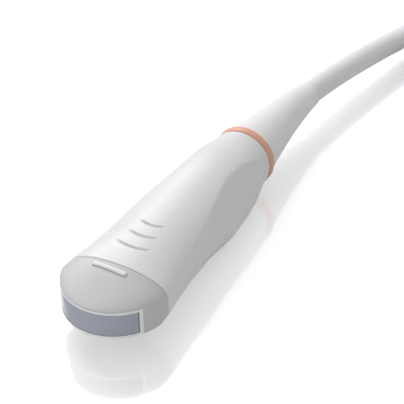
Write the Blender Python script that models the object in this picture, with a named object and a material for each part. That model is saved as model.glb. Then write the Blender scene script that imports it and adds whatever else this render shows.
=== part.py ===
"""Micro-convex ultrasound transducer probe with its screened lead and system connector.

The probe lies on its broad face. X runs along the probe from the lens towards the lead,
Y runs across it and Z is up. The origin is on the table, under the middle of the probe.
Places named "at" are distances behind the apex of the lens.
"""

import math

import bmesh
import bpy
from mathutils import Matrix, Vector

MM = 0.001

# Clearances
FIT = 0.3 * MM  # between two pieces that seat on each other
SEAM = 0.3 * MM  # between the two halves of a housing

# Acoustic stack
LENS_RADIUS = 16.0 * MM
LENS_HALF_ANGLE = math.radians(56.0)
LENS_HEIGHT = 7.6 * MM
LENS_THICKNESS = 1.4 * MM
OUTER_LAYER_THICKNESS = 0.4 * MM
INNER_LAYER_THICKNESS = 0.4 * MM
CERAMIC_THICKNESS = 0.8 * MM
STACK_HALF_ANGLE = math.radians(52.0)
STACK_HEIGHT = 6.6 * MM
BACKING_REAR_AT = 13.2 * MM
CARRIER_LENGTH = 3.0 * MM
CARRIER_ARM_WIDTH = 1.8 * MM
CARRIER_ARM_LENGTH = 4.0 * MM
FLEX_THICKNESS = 0.25 * MM
FLEX_START_AT = 9.0 * MM

# Nose cap
LENS_RIM = 0.4 * MM
HEAD_WIDTH = 33.4 * MM
HEAD_WIDEST_AT = 14.0 * MM
CHEEK_AT = 10.4 * MM
CHEEK_WIDTH = 30.9 * MM
NOSE_LENGTH = 17.0 * MM
NOSE_HEIGHT = 17.4 * MM
NOSE_BROW_AT = 6.0 * MM
NOSE_BROW_HEIGHT = 12.6 * MM
NOSE_SIDE_HEIGHT = 4.6 * MM
NOSE_WALL = 2.0 * MM
NOSE_HOLLOW_START_AT = 4.5 * MM
JOINT_BOW = 1.0 * MM
SPIGOT_LENGTH = 3.0 * MM
SPIGOT_WALL = 1.0 * MM
SPIGOT_ROOT = 1.5 * MM
BAR_LENGTH = 12.4 * MM
BAR_RADIUS = 0.9 * MM
BAR_HEIGHT = 0.6 * MM
BAR_FROM_JOINT = 2.9 * MM

# Handle
WALL = 2.0 * MM
NECK_AT = 25.0 * MM
NECK_WIDTH = 31.8 * MM
NECK_HEIGHT = 19.4 * MM
WAIST_AT = 36.0 * MM
WAIST_WIDTH = 30.4 * MM
WAIST_HEIGHT = 20.6 * MM
GRIP_AT = 52.0 * MM
GRIP_WIDTH = 30.2 * MM
GRIP_HEIGHT = 22.2 * MM
HEEL_AT = 72.0 * MM
HEEL_WIDTH = 26.8 * MM
HEEL_HEIGHT = 24.0 * MM
HANDLE_END_AT = 89.5 * MM
HANDLE_END_DIAMETER = 20.4 * MM
SECTION_POWER = 2.15
SCOOP_DEPTH = 1.6 * MM
SCOOP_START_AT = 20.0 * MM
SCOOP_DEEPEST_AT = 56.0 * MM
SCOOP_END_AT = 88.0 * MM
SCOOP_WAIST_HALF_HEIGHT = 5.2 * MM
SCOOP_CREST_AT = 68.0 * MM
SCOOP_CREST_HALF_HEIGHT = 9.6 * MM
SCOOP_END_HALF_HEIGHT = 2.6 * MM
SCOOP_POWER = 1.5
GROOVE_RADIUS = 0.9 * MM
GROOVE_DEPTH = 0.55 * MM
GROOVE_BOW = 1.4 * MM
FIRST_GROOVE_AT = 24.9 * MM
GROOVE_SPACING = 5.4 * MM
GROOVE_LENGTHS = (11.4 * MM, 9.6 * MM, 8.2 * MM)
RIB_THICKNESS = 1.2 * MM
RIB_PLACES = (30.0 * MM, 58.0 * MM)

# Ring and strain relief
RING_WIDTH = 3.4 * MM
RING_PROUD = 0.3 * MM
RING_CHAMFER = 0.5 * MM
RELIEF_STEP = 0.5 * MM
RELIEF_MIDDLE_AT = 112.0 * MM
RELIEF_MIDDLE_DIAMETER = 14.4 * MM
RELIEF_END_DIAMETER = 8.8 * MM
RELIEF_END_AT = 136.0 * MM
RELIEF_SPIGOT_LENGTH = 6.0 * MM

# Electronics inside the handle
CAN_START_AT = 23.0 * MM
CAN_LENGTH = 43.0 * MM
CAN_SIDE_ROOM = 0.7 * MM
CAN_HEIGHT = 11.0 * MM
CAN_WALL = 0.4 * MM
CAN_CORNER = 2.0 * MM
BOARD_THICKNESS = 1.0 * MM
BOARD_SIDE_GAP = 0.6 * MM
BOARD_LENGTH = 41.0 * MM
SPREADER_THICKNESS = 1.0 * MM
POST_RADIUS = 1.2 * MM
POST_LENGTH = 3.0 * MM
POST_INSET = 3.0 * MM
HEADER_LENGTH = 4.0 * MM
HEADER_SIDE_INSET = 0.8 * MM
HEADER_HEIGHT = 1.3 * MM
CHIP_WIDTH = 9.0 * MM
CHIP_HEIGHT = 1.1 * MM
FIRST_CHIP_AT = 38.0 * MM
CHIP_PITCH = 15.0 * MM

# Screened lead
LEAD_DIAMETER = 7.8 * MM
CORE_DIAMETER = 5.6 * MM
CORE_FLAT_WIDTH = 12.0 * MM
CORE_FLAT_HEIGHT = 5.0 * MM
CORE_GATHERED_AT = 76.0 * MM
FERRULE_LENGTH = 9.0 * MM
FERRULE_WALL = 0.9 * MM
CLAMP_LENGTH = 4.0 * MM
CLAMP_MOUTH_GAP = 0.1 * MM

# The lead's middle line behind the handle, in millimetres: distance behind the lens apex,
# place across, and height above the table
LEAD_ROUTE = (
    (86.0, 0.0, 12.0),
    (113.0, 0.0, 12.0),
    (125.0, -0.3, 11.9),
    (136.0, -1.1, 11.55),
    (147.0, -2.4, 11.05),
    (157.0, -3.9, 10.5),
    (167.0, -5.7, 9.8),
    (177.0, -7.7, 9.1),
    (187.0, -9.9, 8.3),
    (197.0, -12.25, 7.5),
    (218.0, -17.5, 5.3),
)
# The middle line of its last stretch, from the connector's case to the coil
TAIL_ROUTE = (
    (145.0, -97.5, 10.0),
    (152.0, -97.6, 10.0),
    (162.0, -98.7, 10.1),
    (174.0, -100.7, 10.5),
    (181.0, -101.5, 11.2),
    (190.0, -102.1, 12.3),
    (207.0, -102.2, 13.0),
)
LEAD_POINT_STEP = 12.0 * MM

# Coil and ties
COIL_AT = 207.5 * MM
COIL_Y = -59.2 * MM
COIL_MIDDLE_DIAMETER = 78.0 * MM
COIL_COLUMNS = 2
COIL_LAYERS = 3
TIE_THICKNESS = 1.0 * MM
TIE_WIDTH = 14.0 * MM
TIE_DIRECTIONS = (math.radians(25.0), math.radians(200.0))

# Connector, flat on the table with its mating end towards the probe's nose
CONNECTOR_REAR_AT = 150.0 * MM
CONNECTOR_LENGTH = 70.0 * MM
CONNECTOR_WIDTH = 38.0 * MM
CONNECTOR_HEIGHT = 20.0 * MM
CONNECTOR_Y = -87.1 * MM
CONNECTOR_WALL = 2.0 * MM
CONNECTOR_CORNER = 3.5 * MM
CONNECTOR_EDGE = 1.2 * MM
CORD_RELIEF_LENGTH = 24.0 * MM
CORD_RELIEF_DIAMETER = 11.0 * MM
CORD_RELIEF_END_DIAMETER = 9.0 * MM
CORD_RELIEF_NECK_DIAMETER = 8.6 * MM
CORD_RELIEF_FLANGE = 2.4 * MM
SHROUD_LENGTH = 13.0 * MM
SHROUD_WIDTH = 32.0 * MM
SHROUD_HEIGHT = 12.0 * MM
SHROUD_WALL = 0.8 * MM
SHROUD_STANDS_OUT = 7.0 * MM
SHROUD_CORNER = 2.0 * MM
BLOCK_LENGTH = 10.0 * MM
BLOCK_STANDS_OUT = 5.5 * MM
SOCKET_SIZE = 1.1 * MM
SOCKET_DEPTH = 2.0 * MM
SOCKET_PITCH = 2.5 * MM
SOCKET_COLUMNS = 10
SOCKET_ROWS = 3
PCB_LENGTH = 30.0 * MM
PCB_WIDTH = 19.0 * MM
PCB_THICKNESS = 1.6 * MM
SCREW_RADIUS = 1.2 * MM
SCREW_LENGTH = 15.0 * MM
SCREW_HEAD_RADIUS = 2.2 * MM
SCREW_HEAD_HEIGHT = 1.6 * MM
SCREW_SINK = 0.6 * MM
SCREWS_FROM_FRONT = 18.0 * MM
SCREWS_FROM_REAR = 12.0 * MM
SCREWS_FROM_SIDE = 5.4 * MM
BOSS_RADIUS = 3.0 * MM

# How finely round shapes are divided
HEAD_STEPS = 7
HANDLE_ROWS = 18
SIDE_POINTS = 4
TOP_POINTS = 6
RING_STEPS = 32
SMALL_STEPS = 16
COIL_STEPS = 40
ARC_STEPS = 18
CORNER_STEPS = 4

# Sizes that follow from those above
AXIS_HEIGHT = HEEL_HEIGHT / 2
ORIGIN_AT = RELIEF_END_AT / 2
HEAD_CENTRE_AT = LENS_RADIUS
LENS_END_AT = HEAD_CENTRE_AT - LENS_RADIUS * math.cos(LENS_HALF_ANGLE)
LENS_END_Y = LENS_RADIUS * math.sin(LENS_HALF_ANGLE)
WINDOW_HALF_HEIGHT = LENS_HEIGHT / 2 + FIT
HANDLE_START_AT = NOSE_LENGTH + FIT
RING_START_AT = HANDLE_END_AT + FIT
RING_END_AT = RING_START_AT + RING_WIDTH
RELIEF_START_AT = RING_END_AT + FIT
MOUTH_RADIUS = HANDLE_END_DIAMETER / 2 - WALL
CLAMP_RADIUS = MOUTH_RADIUS - CLAMP_MOUTH_GAP
RING_RADIUS = HANDLE_END_DIAMETER / 2 + RING_PROUD
RELIEF_RADIUS = HANDLE_END_DIAMETER / 2 - RELIEF_STEP
RELIEF_SPIGOT_START = RELIEF_START_AT - RELIEF_SPIGOT_LENGTH
RELIEF_BORE = CORE_DIAMETER / 2 + FIT
FERRULE_END = RELIEF_SPIGOT_START - FIT
OUTER_LAYER_RADIUS = LENS_RADIUS - LENS_THICKNESS - FIT
INNER_LAYER_RADIUS = OUTER_LAYER_RADIUS - OUTER_LAYER_THICKNESS - FIT
CERAMIC_RADIUS = INNER_LAYER_RADIUS - INNER_LAYER_THICKNESS - FIT
BACKING_RADIUS = CERAMIC_RADIUS - CERAMIC_THICKNESS - FIT
BACKING_HALF_WIDTH = BACKING_RADIUS * math.sin(STACK_HALF_ANGLE)
CARRIER_AT = BACKING_REAR_AT + FIT
CARRIER_END = CARRIER_AT + CARRIER_LENGTH
SPREADER_START = CARRIER_END + FIT
CAN_END = CAN_START_AT + CAN_LENGTH
CAN_WIDTH = HEEL_WIDTH - 2 * (WALL + SCOOP_DEPTH + CAN_SIDE_ROOM)
BOARD_WIDTH = CAN_WIDTH - 2 * (CAN_WALL + BOARD_SIDE_GAP)
SPREADER_WIDTH = BOARD_WIDTH - 4 * (POST_RADIUS + FIT)
HEADER_WIDTH = BOARD_WIDTH - 2 * HEADER_SIDE_INSET
FLEX_WIDTH = HEADER_WIDTH - 2 * FIT
BOARD_AT = CAN_START_AT + (CAN_LENGTH - BOARD_LENGTH) / 2
BOARD_BOTTOM = POST_LENGTH / 2 + FIT
BOARD_TOP = BOARD_BOTTOM + BOARD_THICKNESS
HEADER_AT = BOARD_AT + FIT
FLEX_LEVEL = STACK_HEIGHT / 2 + FIT
COIL_RADIUS = COIL_MIDDLE_DIAMETER / 2
COIL_HALF_WIDTH = COIL_COLUMNS * LEAD_DIAMETER / 2
COIL_HALF_HEIGHT = COIL_LAYERS * LEAD_DIAMETER / 2
COIL_OUTER = COIL_RADIUS + COIL_HALF_WIDTH
COIL_INNER = COIL_RADIUS - COIL_HALF_WIDTH
COIL_MIDDLE_HEIGHT = TIE_THICKNESS + FIT + COIL_HALF_HEIGHT
CONNECTOR_AXIS = CONNECTOR_HEIGHT / 2
CONNECTOR_FRONT_AT = CONNECTOR_REAR_AT - CONNECTOR_LENGTH
SHROUD_AT = CONNECTOR_FRONT_AT - SHROUD_STANDS_OUT
BLOCK_AT = CONNECTOR_FRONT_AT - BLOCK_STANDS_OUT
PCB_AT = BLOCK_AT + BLOCK_LENGTH + FIT
CORD_RELIEF_START_AT = CONNECTOR_REAR_AT + FIT
CORD_RELIEF_END_AT = CORD_RELIEF_START_AT + CORD_RELIEF_LENGTH
CORD_Y = TAIL_ROUTE[0][1] * MM

ALONG = Vector((1, 0, 0))
ACROSS = Vector((0, 1, 0))
UP = Vector((0, 0, 1))


def clear_scene():
    for thing in list(bpy.data.objects):
        bpy.data.objects.remove(thing, do_unlink=True)


def material(name, colour, roughness, metallic=0.0):
    made = bpy.data.materials.new(name)
    made.use_nodes = True
    shader = made.node_tree.nodes["Principled BSDF"]
    shader.inputs["Base Color"].default_value = (*colour, 1.0)
    shader.inputs["Roughness"].default_value = roughness
    shader.inputs["Metallic"].default_value = metallic
    made.diffuse_color = (*colour, 1.0)
    return made


def place(at, across, up):
    """A point from its distance behind the lens apex, its Y and its height."""
    return Vector((at - ORIGIN_AT, across, up))


def either_side(way, low, high):
    """Two heights above the axis, or as far below it, the lower one first."""
    return sorted((way * low, way * high))


# Mesh building


def add_object(name, bm, look=None):
    """An object from a bmesh, with its faces turned outwards. A guide has no material."""
    bmesh.ops.recalc_face_normals(bm, faces=bm.faces)
    mesh = bpy.data.meshes.new(name)
    bm.to_mesh(mesh)
    bm.free()
    mesh.shade_smooth()
    mesh.set_sharp_from_angle(angle=math.radians(35))
    made = bpy.data.objects.new(name, mesh)
    bpy.context.scene.collection.objects.link(made)
    if look:
        made.data.materials.append(look)
    else:
        made.hide_render = True
        made.display_type = "WIRE"
    return made


def boolean(target, guide, operation):
    step = target.modifiers.new(guide.name, "BOOLEAN")
    step.operation = operation
    step.solver = "EXACT"
    step.object = guide


def cut(target, guide):
    boolean(target, guide, "DIFFERENCE")


def join(target, guide):
    boolean(target, guide, "UNION")


def skin(bm, rows, around):
    """Vertices at the rows of points, with faces between each row and the next."""
    made = [[bm.verts.new(point) for point in row] for row in rows]
    for low, high in zip(made, made[1:]):
        for i in range(len(low) if around else len(low) - 1):
            j = (i + 1) % len(low)
            bm.faces.new((low[i], low[j], high[j], high[i]))
    return made


def solid(name, rows, look=None):
    """A closed body through rows of points, with a flat cap at each end."""
    bm = bmesh.new()
    made = skin(bm, rows, True)
    bm.faces.new(made[0])
    bm.faces.new(made[-1])
    return add_object(name, bm, look)


def walled(name, outer, inner, look=None, around=True):
    """A wall between an outer and an inner skin, with its rims closed."""
    bm = bmesh.new()
    outside = skin(bm, outer, around)
    inside = skin(bm, inner, around)
    for a, b in ((outside[0], inside[0]), (outside[-1], inside[-1])):
        for i in range(len(a) if around else len(a) - 1):
            j = (i + 1) % len(a)
            bm.faces.new((a[i], a[j], b[j], b[i]))
    if not around:
        for side in (0, -1):
            for k in range(len(outside) - 1):
                edge = outside[k][side], outside[k + 1][side]
                bm.faces.new((*edge, inside[k + 1][side], inside[k][side]))
    return add_object(name, bm, look)


def looped(name, loops, look):
    """A ring through closed loops of points, the last joined to the first."""
    bm = bmesh.new()
    made = [[bm.verts.new(point) for point in loop] for loop in loops]
    for a, b in zip(made, made[1:] + made[:1]):
        for i in range(len(a)):
            j = (i + 1) % len(a)
            bm.faces.new((a[i], a[j], b[j], b[i]))
    return add_object(name, bm, look)


def extrude(name, outline, low, high, look=None):
    """A plan outline of (at, across) points between two heights above the axis."""
    rows = [[place(at, y, AXIS_HEIGHT + z) for at, y in outline] for z in (low, high)]
    return solid(name, rows, look)


def block(name, start, end, half_width, low, high, look=None, y=0.0):
    """A box between two places along the probe and two heights above its axis."""
    corners = ((start, -1), (end, -1), (end, 1), (start, 1))
    outline = [(at, y + side * half_width) for at, side in corners]
    return extrude(name, outline, low, high, look)


def circle_row(centre, radius, steps, across=ACROSS, up=UP):
    row = []
    for i in range(steps):
        turn = math.tau * i / steps
        row.append(centre + across * radius * math.cos(turn) + up * radius * math.sin(turn))
    return row


def pin(name, centre, stations, look=None):
    """An upright round pin through (height, radius) stations."""
    rows = []
    for up, radius in stations:
        middle = Vector((centre.x, centre.y, up))
        rows.append(circle_row(middle, radius, SMALL_STEPS, ALONG, ACROSS))
    return solid(name, rows, look)


def turned(name, stations, look):
    """A ring turned about the probe's axis, from a closed profile of (at, radius) points."""
    loops = []
    for at, radius in stations:
        loops.append(circle_row(place(at, 0.0, AXIS_HEIGHT), radius, RING_STEPS))
    return looped(name, loops, look)


def rounded_rectangle(half_x, half_y, corner):
    """Points round a rectangle with round corners, anticlockwise from +X."""
    points = []
    for k, (way_x, way_y) in enumerate(((1, 1), (-1, 1), (-1, -1), (1, -1))):
        for i in range(CORNER_STEPS + 1):
            turn = math.pi / 2 * (k + i / CORNER_STEPS)
            x = way_x * (half_x - corner) + corner * math.cos(turn)
            y = way_y * (half_y - corner) + corner * math.sin(turn)
            points.append((x, y))
    return points


def smooth_profile(stations, at):
    """A curve through (place, value) stations that never overshoots between them."""
    if at <= stations[0][0]:
        return stations[0][1]
    if at >= stations[-1][0]:
        return stations[-1][1]
    steps = [b[0] - a[0] for a, b in zip(stations, stations[1:])]
    slopes = [(b[1] - a[1]) / step for a, b, step in zip(stations, stations[1:], steps)]
    tangents = [slopes[0]]
    for before, after in zip(slopes, slopes[1:]):
        tangents.append(2 * before * after / (before + after) if before * after > 0 else 0.0)
    tangents.append(slopes[-1])
    k = max(i for i in range(len(steps)) if at >= stations[i][0])
    t = (at - stations[k][0]) / steps[k]
    return (
        stations[k][1] * (1 + 2 * t) * (1 - t) ** 2
        + stations[k + 1][1] * t * t * (3 - 2 * t)
        + tangents[k] * steps[k] * t * (1 - t) ** 2
        + tangents[k + 1] * steps[k] * t * t * (t - 1)
    )


# The housing's form


def half_width(at):
    if at < LENS_END_AT:
        return math.sqrt(max(0.0, LENS_RADIUS**2 - (HEAD_CENTRE_AT - at) ** 2))
    stations = (
        (LENS_END_AT, LENS_END_Y),
        (CHEEK_AT, CHEEK_WIDTH / 2),
        (HEAD_WIDEST_AT, HEAD_WIDTH / 2),
        (NOSE_LENGTH, HEAD_WIDTH / 2),
        (NECK_AT, NECK_WIDTH / 2),
        (WAIST_AT, WAIST_WIDTH / 2),
        (GRIP_AT, GRIP_WIDTH / 2),
        (HEEL_AT, HEEL_WIDTH / 2),
        (HANDLE_END_AT, HANDLE_END_DIAMETER / 2),
    )
    return smooth_profile(stations, at)


def half_height(at):
    stations = (
        (0.0, WINDOW_HALF_HEIGHT + 2 * LENS_RIM),
        (NOSE_BROW_AT, NOSE_BROW_HEIGHT / 2),
        (NOSE_LENGTH, NOSE_HEIGHT / 2),
        (NECK_AT, NECK_HEIGHT / 2),
        (WAIST_AT, WAIST_HEIGHT / 2),
        (GRIP_AT, GRIP_HEIGHT / 2),
        (HEEL_AT, HEEL_HEIGHT / 2),
        (HANDLE_END_AT, HANDLE_END_DIAMETER / 2),
    )
    return smooth_profile(stations, at)


def section_power(at):
    """The section is a little squarer than an ellipse, and round at the handle's end."""
    return smooth_profile(((HEEL_AT, SECTION_POWER), (HANDLE_END_AT, 2.0)), at)


def upright_side(at):
    """How far up the side is upright: the lens window's lip in front, nothing in the grip."""
    stations = (
        (0.0, WINDOW_HALF_HEIGHT + LENS_RIM),
        (NOSE_LENGTH, NOSE_SIDE_HEIGHT / 2),
        (WAIST_AT, SEAM),
    )
    return smooth_profile(stations, at)


def crease_height(at):
    """Where the finger scoop meets the broad face."""
    stations = (
        (NOSE_LENGTH, NOSE_SIDE_HEIGHT / 2),
        (WAIST_AT, SCOOP_WAIST_HALF_HEIGHT),
        (SCOOP_CREST_AT, SCOOP_CREST_HALF_HEIGHT),
        (HANDLE_END_AT, SCOOP_END_HALF_HEIGHT),
    )
    return max(upright_side(at), smooth_profile(stations, at))


def scoop_depth(at):
    stations = ((SCOOP_START_AT, 0.0), (SCOOP_DEEPEST_AT, SCOOP_DEPTH), (SCOOP_END_AT, 0.0))
    return smooth_profile(stations, at)


def broad_face_height(at, across):
    """Height of the broad face above the axis."""
    high = half_height(at)
    upright = upright_side(at)
    power = section_power(at)
    share = 1 - (abs(across) / half_width(at)) ** power
    return upright + (high - upright) * share ** (1 / power)


def half_section(at, inset=0.0):
    """Y and height of the section's upper half, from its +Y side over to its -Y side."""
    wide = half_width(at) - inset
    high = half_height(at) - inset
    power = 2 / section_power(at)
    upright = upright_side(at) * high / half_height(at)
    crease = crease_height(at) * high / half_height(at)
    crease_turn = math.asin(((crease - upright) / (high - upright)) ** (1 / power))
    crease_y = wide * math.cos(crease_turn) ** power
    middle_y = wide - scoop_depth(at)
    low = SEAM / 2
    quarter = []
    for i in range(SIDE_POINTS):
        share = i / SIDE_POINTS
        y = middle_y + (crease_y - middle_y) * share**SCOOP_POWER
        quarter.append((y, low + (crease - low) * share))
    for i in range(TOP_POINTS):
        turn = crease_turn + (math.pi / 2 - crease_turn) * i / TOP_POINTS
        z = upright + (high - upright) * math.sin(turn) ** power
        quarter.append((wide * math.cos(turn) ** power, z))
    return quarter + [(0.0, high)] + [(-y, z) for y, z in reversed(quarter)]


def joint_shift(at, across):
    """The joint of nose and handle bows backwards over the middle, and rows near it follow."""
    fade = smooth_profile(((HEAD_WIDEST_AT, 0.0), (NOSE_LENGTH, 1.0), (NECK_AT, 0.0)), at)
    return JOINT_BOW * fade * (1 - min(1.0, (across / half_width(at)) ** 2))


def upper_row(at, inset=0.0):
    section = half_section(at, inset)
    return [place(at + joint_shift(at, y), y, AXIS_HEIGHT + z) for y, z in section]


def lower_row(at, inset=0.0):
    return [Vector((p.x, p.y, 2 * AXIS_HEIGHT - p.z)) for p in upper_row(at, inset)]


def full_row(at, inset=0.0):
    return upper_row(at, inset) + lower_row(at, inset)[::-1]


# Nose and acoustic stack


def head_arc(radius, half_angle):
    """Points of an arc about the head's centre, from its -Y end to its +Y end."""
    points = []
    for i in range(ARC_STEPS + 1):
        swing = half_angle * (2 * i / ARC_STEPS - 1)
        points.append((HEAD_CENTRE_AT - radius * math.cos(swing), radius * math.sin(swing)))
    return points


def add_arc_slab(name, radius, thickness, half_angle, height, look):
    outline = head_arc(radius, half_angle) + head_arc(radius - thickness, half_angle)[::-1]
    extrude(name, outline, -height / 2, height / 2, look)


def shape_nose(cap):
    """The spigot, its bore, the hollow and the lens window."""
    root = NOSE_LENGTH - SPIGOT_ROOT
    spigot_end = NOSE_LENGTH + SPIGOT_LENGTH
    spigot_inset = WALL + FIT
    bore_inset = spigot_inset + SPIGOT_WALL
    spigot = solid("spigot_guide", [full_row(at, spigot_inset) for at in (root, spigot_end)])
    hollow_length = root + FIT - NOSE_HOLLOW_START_AT
    hollow_steps = 5
    hollow_rows = []
    for i in range(hollow_steps + 1):
        at = NOSE_HOLLOW_START_AT + hollow_length * i / hollow_steps
        hollow_rows.append(full_row(at, NOSE_WALL))
    hollow = solid("nose_hollow_guide", hollow_rows)
    bore_end = spigot_end + SPIGOT_WALL
    bore = solid("spigot_bore_guide", [full_row(at, bore_inset) for at in (root, bore_end)])
    window = block(
        "lens_window_guide",
        -LENS_THICKNESS,
        LENS_END_AT + LENS_THICKNESS,
        LENS_END_Y + FIT,
        -WINDOW_HALF_HEIGHT,
        WINDOW_HALF_HEIGHT,
    )
    join(cap, spigot)
    for guide in (hollow, bore, window):
        cut(cap, guide)


def orientation_bar():
    """A low round-ended bar across the nose that marks one side of the image."""
    shares = (0.0, 0.4, 0.86, 0.94, 1.0)
    swells = (1.0, 1.0, 1.0, 0.85, 0.45)
    half = list(zip(shares, swells))
    rows = []
    for share, swell in [(-share, swell) for share, swell in half[:0:-1]] + half:
        y = share * BAR_LENGTH / 2
        at = NOSE_LENGTH - BAR_FROM_JOINT + JOINT_BOW * (1 - (2 * y / HEAD_WIDTH) ** 2)
        up = AXIS_HEIGHT + broad_face_height(at, y) + BAR_HEIGHT - BAR_RADIUS
        rows.append(circle_row(place(at, y, up), BAR_RADIUS * swell, SMALL_STEPS, ALONG))
    return solid("orientation_bar_guide", rows)


def add_nose_cap(look):
    places = []
    for step in range(1, HEAD_STEPS + 1):
        swing = LENS_HALF_ANGLE * step / HEAD_STEPS
        places.append(HEAD_CENTRE_AT - LENS_RADIUS * math.cos(swing))
    cheek_steps = 4
    for i in range(1, cheek_steps + 1):
        places.append(LENS_END_AT + (HEAD_WIDEST_AT - LENS_END_AT) * i / cheek_steps)
    places += [(HEAD_WIDEST_AT + NOSE_LENGTH) / 2, NOSE_LENGTH]
    cap = solid("nose_cap", [full_row(at) for at in places], look)
    shape_nose(cap)
    join(cap, orientation_bar())


def add_backing(look):
    """The absorber: an arc in front, flat behind."""
    outline = head_arc(BACKING_RADIUS, STACK_HALF_ANGLE)
    outline += [(BACKING_REAR_AT, BACKING_HALF_WIDTH), (BACKING_REAR_AT, -BACKING_HALF_WIDTH)]
    extrude("backing_block", outline, -STACK_HEIGHT / 2, STACK_HEIGHT / 2, look)


def add_array_frame(look):
    """A carrier with two arms that hold the stack between them."""
    inner = BACKING_HALF_WIDTH + FIT
    outer = inner + CARRIER_ARM_WIDTH
    tip = CARRIER_AT - CARRIER_ARM_LENGTH
    outline = [(CARRIER_AT, inner), (tip, inner), (tip, outer), (CARRIER_END, outer)]
    outline += [(at, -y) for at, y in reversed(outline)]
    extrude("array_frame", outline, -STACK_HEIGHT / 2, STACK_HEIGHT / 2, look)


def add_stack(looks):
    add_arc_slab("lens", LENS_RADIUS, LENS_THICKNESS, LENS_HALF_ANGLE, LENS_HEIGHT,
                 looks["lens"])
    layers = (
        ("outer_matching_layer", OUTER_LAYER_RADIUS, OUTER_LAYER_THICKNESS, "resin"),
        ("inner_matching_layer", INNER_LAYER_RADIUS, INNER_LAYER_THICKNESS, "filled_resin"),
        ("piezo_array", CERAMIC_RADIUS, CERAMIC_THICKNESS, "ceramic"),
    )
    for name, radius, thickness, look in layers:
        add_arc_slab(name, radius, thickness, STACK_HALF_ANGLE, STACK_HEIGHT, looks[look])
    add_backing(looks["rubber"])
    add_array_frame(looks["frame"])
    for name, way in (("flex_upper", 1), ("flex_lower", -1)):
        low, high = either_side(way, FLEX_LEVEL, FLEX_LEVEL + FLEX_THICKNESS)
        block(name, FLEX_START_AT, HEADER_AT - FIT, FLEX_WIDTH / 2, low, high, looks["film"])


# Handle


def add_shell(name, row_at, side, look):
    """Half of the handle, with ribs that carry the screening can."""
    span = HANDLE_END_AT - HANDLE_START_AT
    places = [HANDLE_START_AT + span * i / (HANDLE_ROWS - 1) for i in range(HANDLE_ROWS)]
    outer = [row_at(at) for at in places]
    inner = [row_at(at, WALL) for at in places]
    shell = walled(name, outer, inner, look, around=False)
    for number, at in enumerate(RIB_PLACES, 1):
        join(shell, rib(f"{name}_rib_guide_{number}", row_at, side, at))
    return shell


def rib(name, row_at, side, start):
    """A frame across the shell, from inside its wall to an opening round the can."""
    outer = [row_at(at, WALL / 2) for at in (start, start + RIB_THICKNESS)]
    inner = []
    for edge in outer:
        opening = []
        for point in edge:
            up = point.z - AXIS_HEIGHT
            reach_y = (CAN_WIDTH / 2 + FIT) / max(abs(point.y), FIT)
            reach_z = (CAN_HEIGHT / 2 + FIT) / max(abs(up), FIT)
            share = min(reach_y, reach_z)
            opening.append(Vector((point.x, point.y * share, AXIS_HEIGHT + up * share)))
        for end in (0, -1):
            opening[end].z = AXIS_HEIGHT + side * SEAM / 2
        inner.append(opening)
    return walled(name, outer, inner, around=False)


def cut_grooves(shell):
    """Three bowed finger grooves, each shorter than the one before."""
    steps = 8
    for number, length in enumerate(GROOVE_LENGTHS):
        at = FIRST_GROOVE_AT + GROOVE_SPACING * number
        up = AXIS_HEIGHT + half_height(at) - GROOVE_DEPTH + GROOVE_RADIUS
        rows = []
        for i in range(steps + 1):
            share = 2 * i / steps - 1
            radius = GROOVE_RADIUS if 0 < i < steps else GROOVE_RADIUS / 2
            centre = place(at + GROOVE_BOW * share**2, share * length / 2, up)
            rows.append(circle_row(centre, radius, SMALL_STEPS, ALONG))
        cut(shell, solid(f"groove_guide_{number + 1}", rows))


def add_can(look):
    """The open-ended sleeve of thin sheet that screens the electronics."""
    skins = []
    for wall in (0.0, CAN_WALL):
        outline = rounded_rectangle(
            CAN_WIDTH / 2 - wall, CAN_HEIGHT / 2 - wall, CAN_CORNER - wall
        )
        ends = (CAN_START_AT, CAN_END)
        skins.append([[place(at, y, AXIS_HEIGHT + z) for y, z in outline] for at in ends])
    walled("shield_sleeve", *skins, look)


def add_boards(looks):
    """Two boards, each with the header for its flexible circuit and two chips."""
    chip = 0
    raised = BOARD_TOP + FIT
    for side, way in (("upper", 1), ("lower", -1)):
        levels = either_side(way, BOARD_BOTTOM, BOARD_TOP)
        block(f"board_{side}", BOARD_AT, BOARD_AT + BOARD_LENGTH, BOARD_WIDTH / 2, *levels,
              looks["board"])
        levels = either_side(way, raised, raised + HEADER_HEIGHT)
        block(f"flex_header_{side}", HEADER_AT, HEADER_AT + HEADER_LENGTH, HEADER_WIDTH / 2,
              *levels, looks["black"])
        levels = either_side(way, raised, raised + CHIP_HEIGHT)
        for number in range(2):
            chip += 1
            start = FIRST_CHIP_AT + CHIP_PITCH * number - CHIP_WIDTH / 2
            block(f"chip_{chip}", start, start + CHIP_WIDTH, CHIP_WIDTH / 2, *levels,
                  looks["black"])


def add_electronics(looks):
    add_can(looks["copper"])
    half = SPREADER_THICKNESS / 2
    block("heat_spreader", SPREADER_START, CAN_END, SPREADER_WIDTH / 2, -half, half,
          looks["aluminium"])
    add_boards(looks)
    reach = BOARD_WIDTH / 2 - POST_RADIUS - FIT
    low = AXIS_HEIGHT - POST_LENGTH / 2
    stations = ((low, POST_RADIUS), (low + POST_LENGTH, POST_RADIUS))
    front = BOARD_AT + POST_INSET
    rear = BOARD_AT + BOARD_LENGTH - POST_INSET
    corners = ((front, -reach), (front, reach), (rear, -reach), (rear, reach))
    for number, (at, y) in enumerate(corners, 1):
        pin(f"board_post_{number}", place(at, y, 0.0), stations, looks["brass"])


# Ring, relief and lead


def route_centre(route, at):
    """A point of a lead's middle line, at a distance behind the lens apex."""
    y = smooth_profile([(p[0] * MM, p[1] * MM) for p in route], at)
    z = smooth_profile([(p[0] * MM, p[2] * MM) for p in route], at)
    return place(at, y, z)


def route_frame(route, at):
    """The directions across and up that are square to the route."""
    heading = (route_centre(route, at + FIT) - route_centre(route, at - FIT)).normalized()
    across = UP.cross(heading).normalized()
    return across, heading.cross(across)


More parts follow.
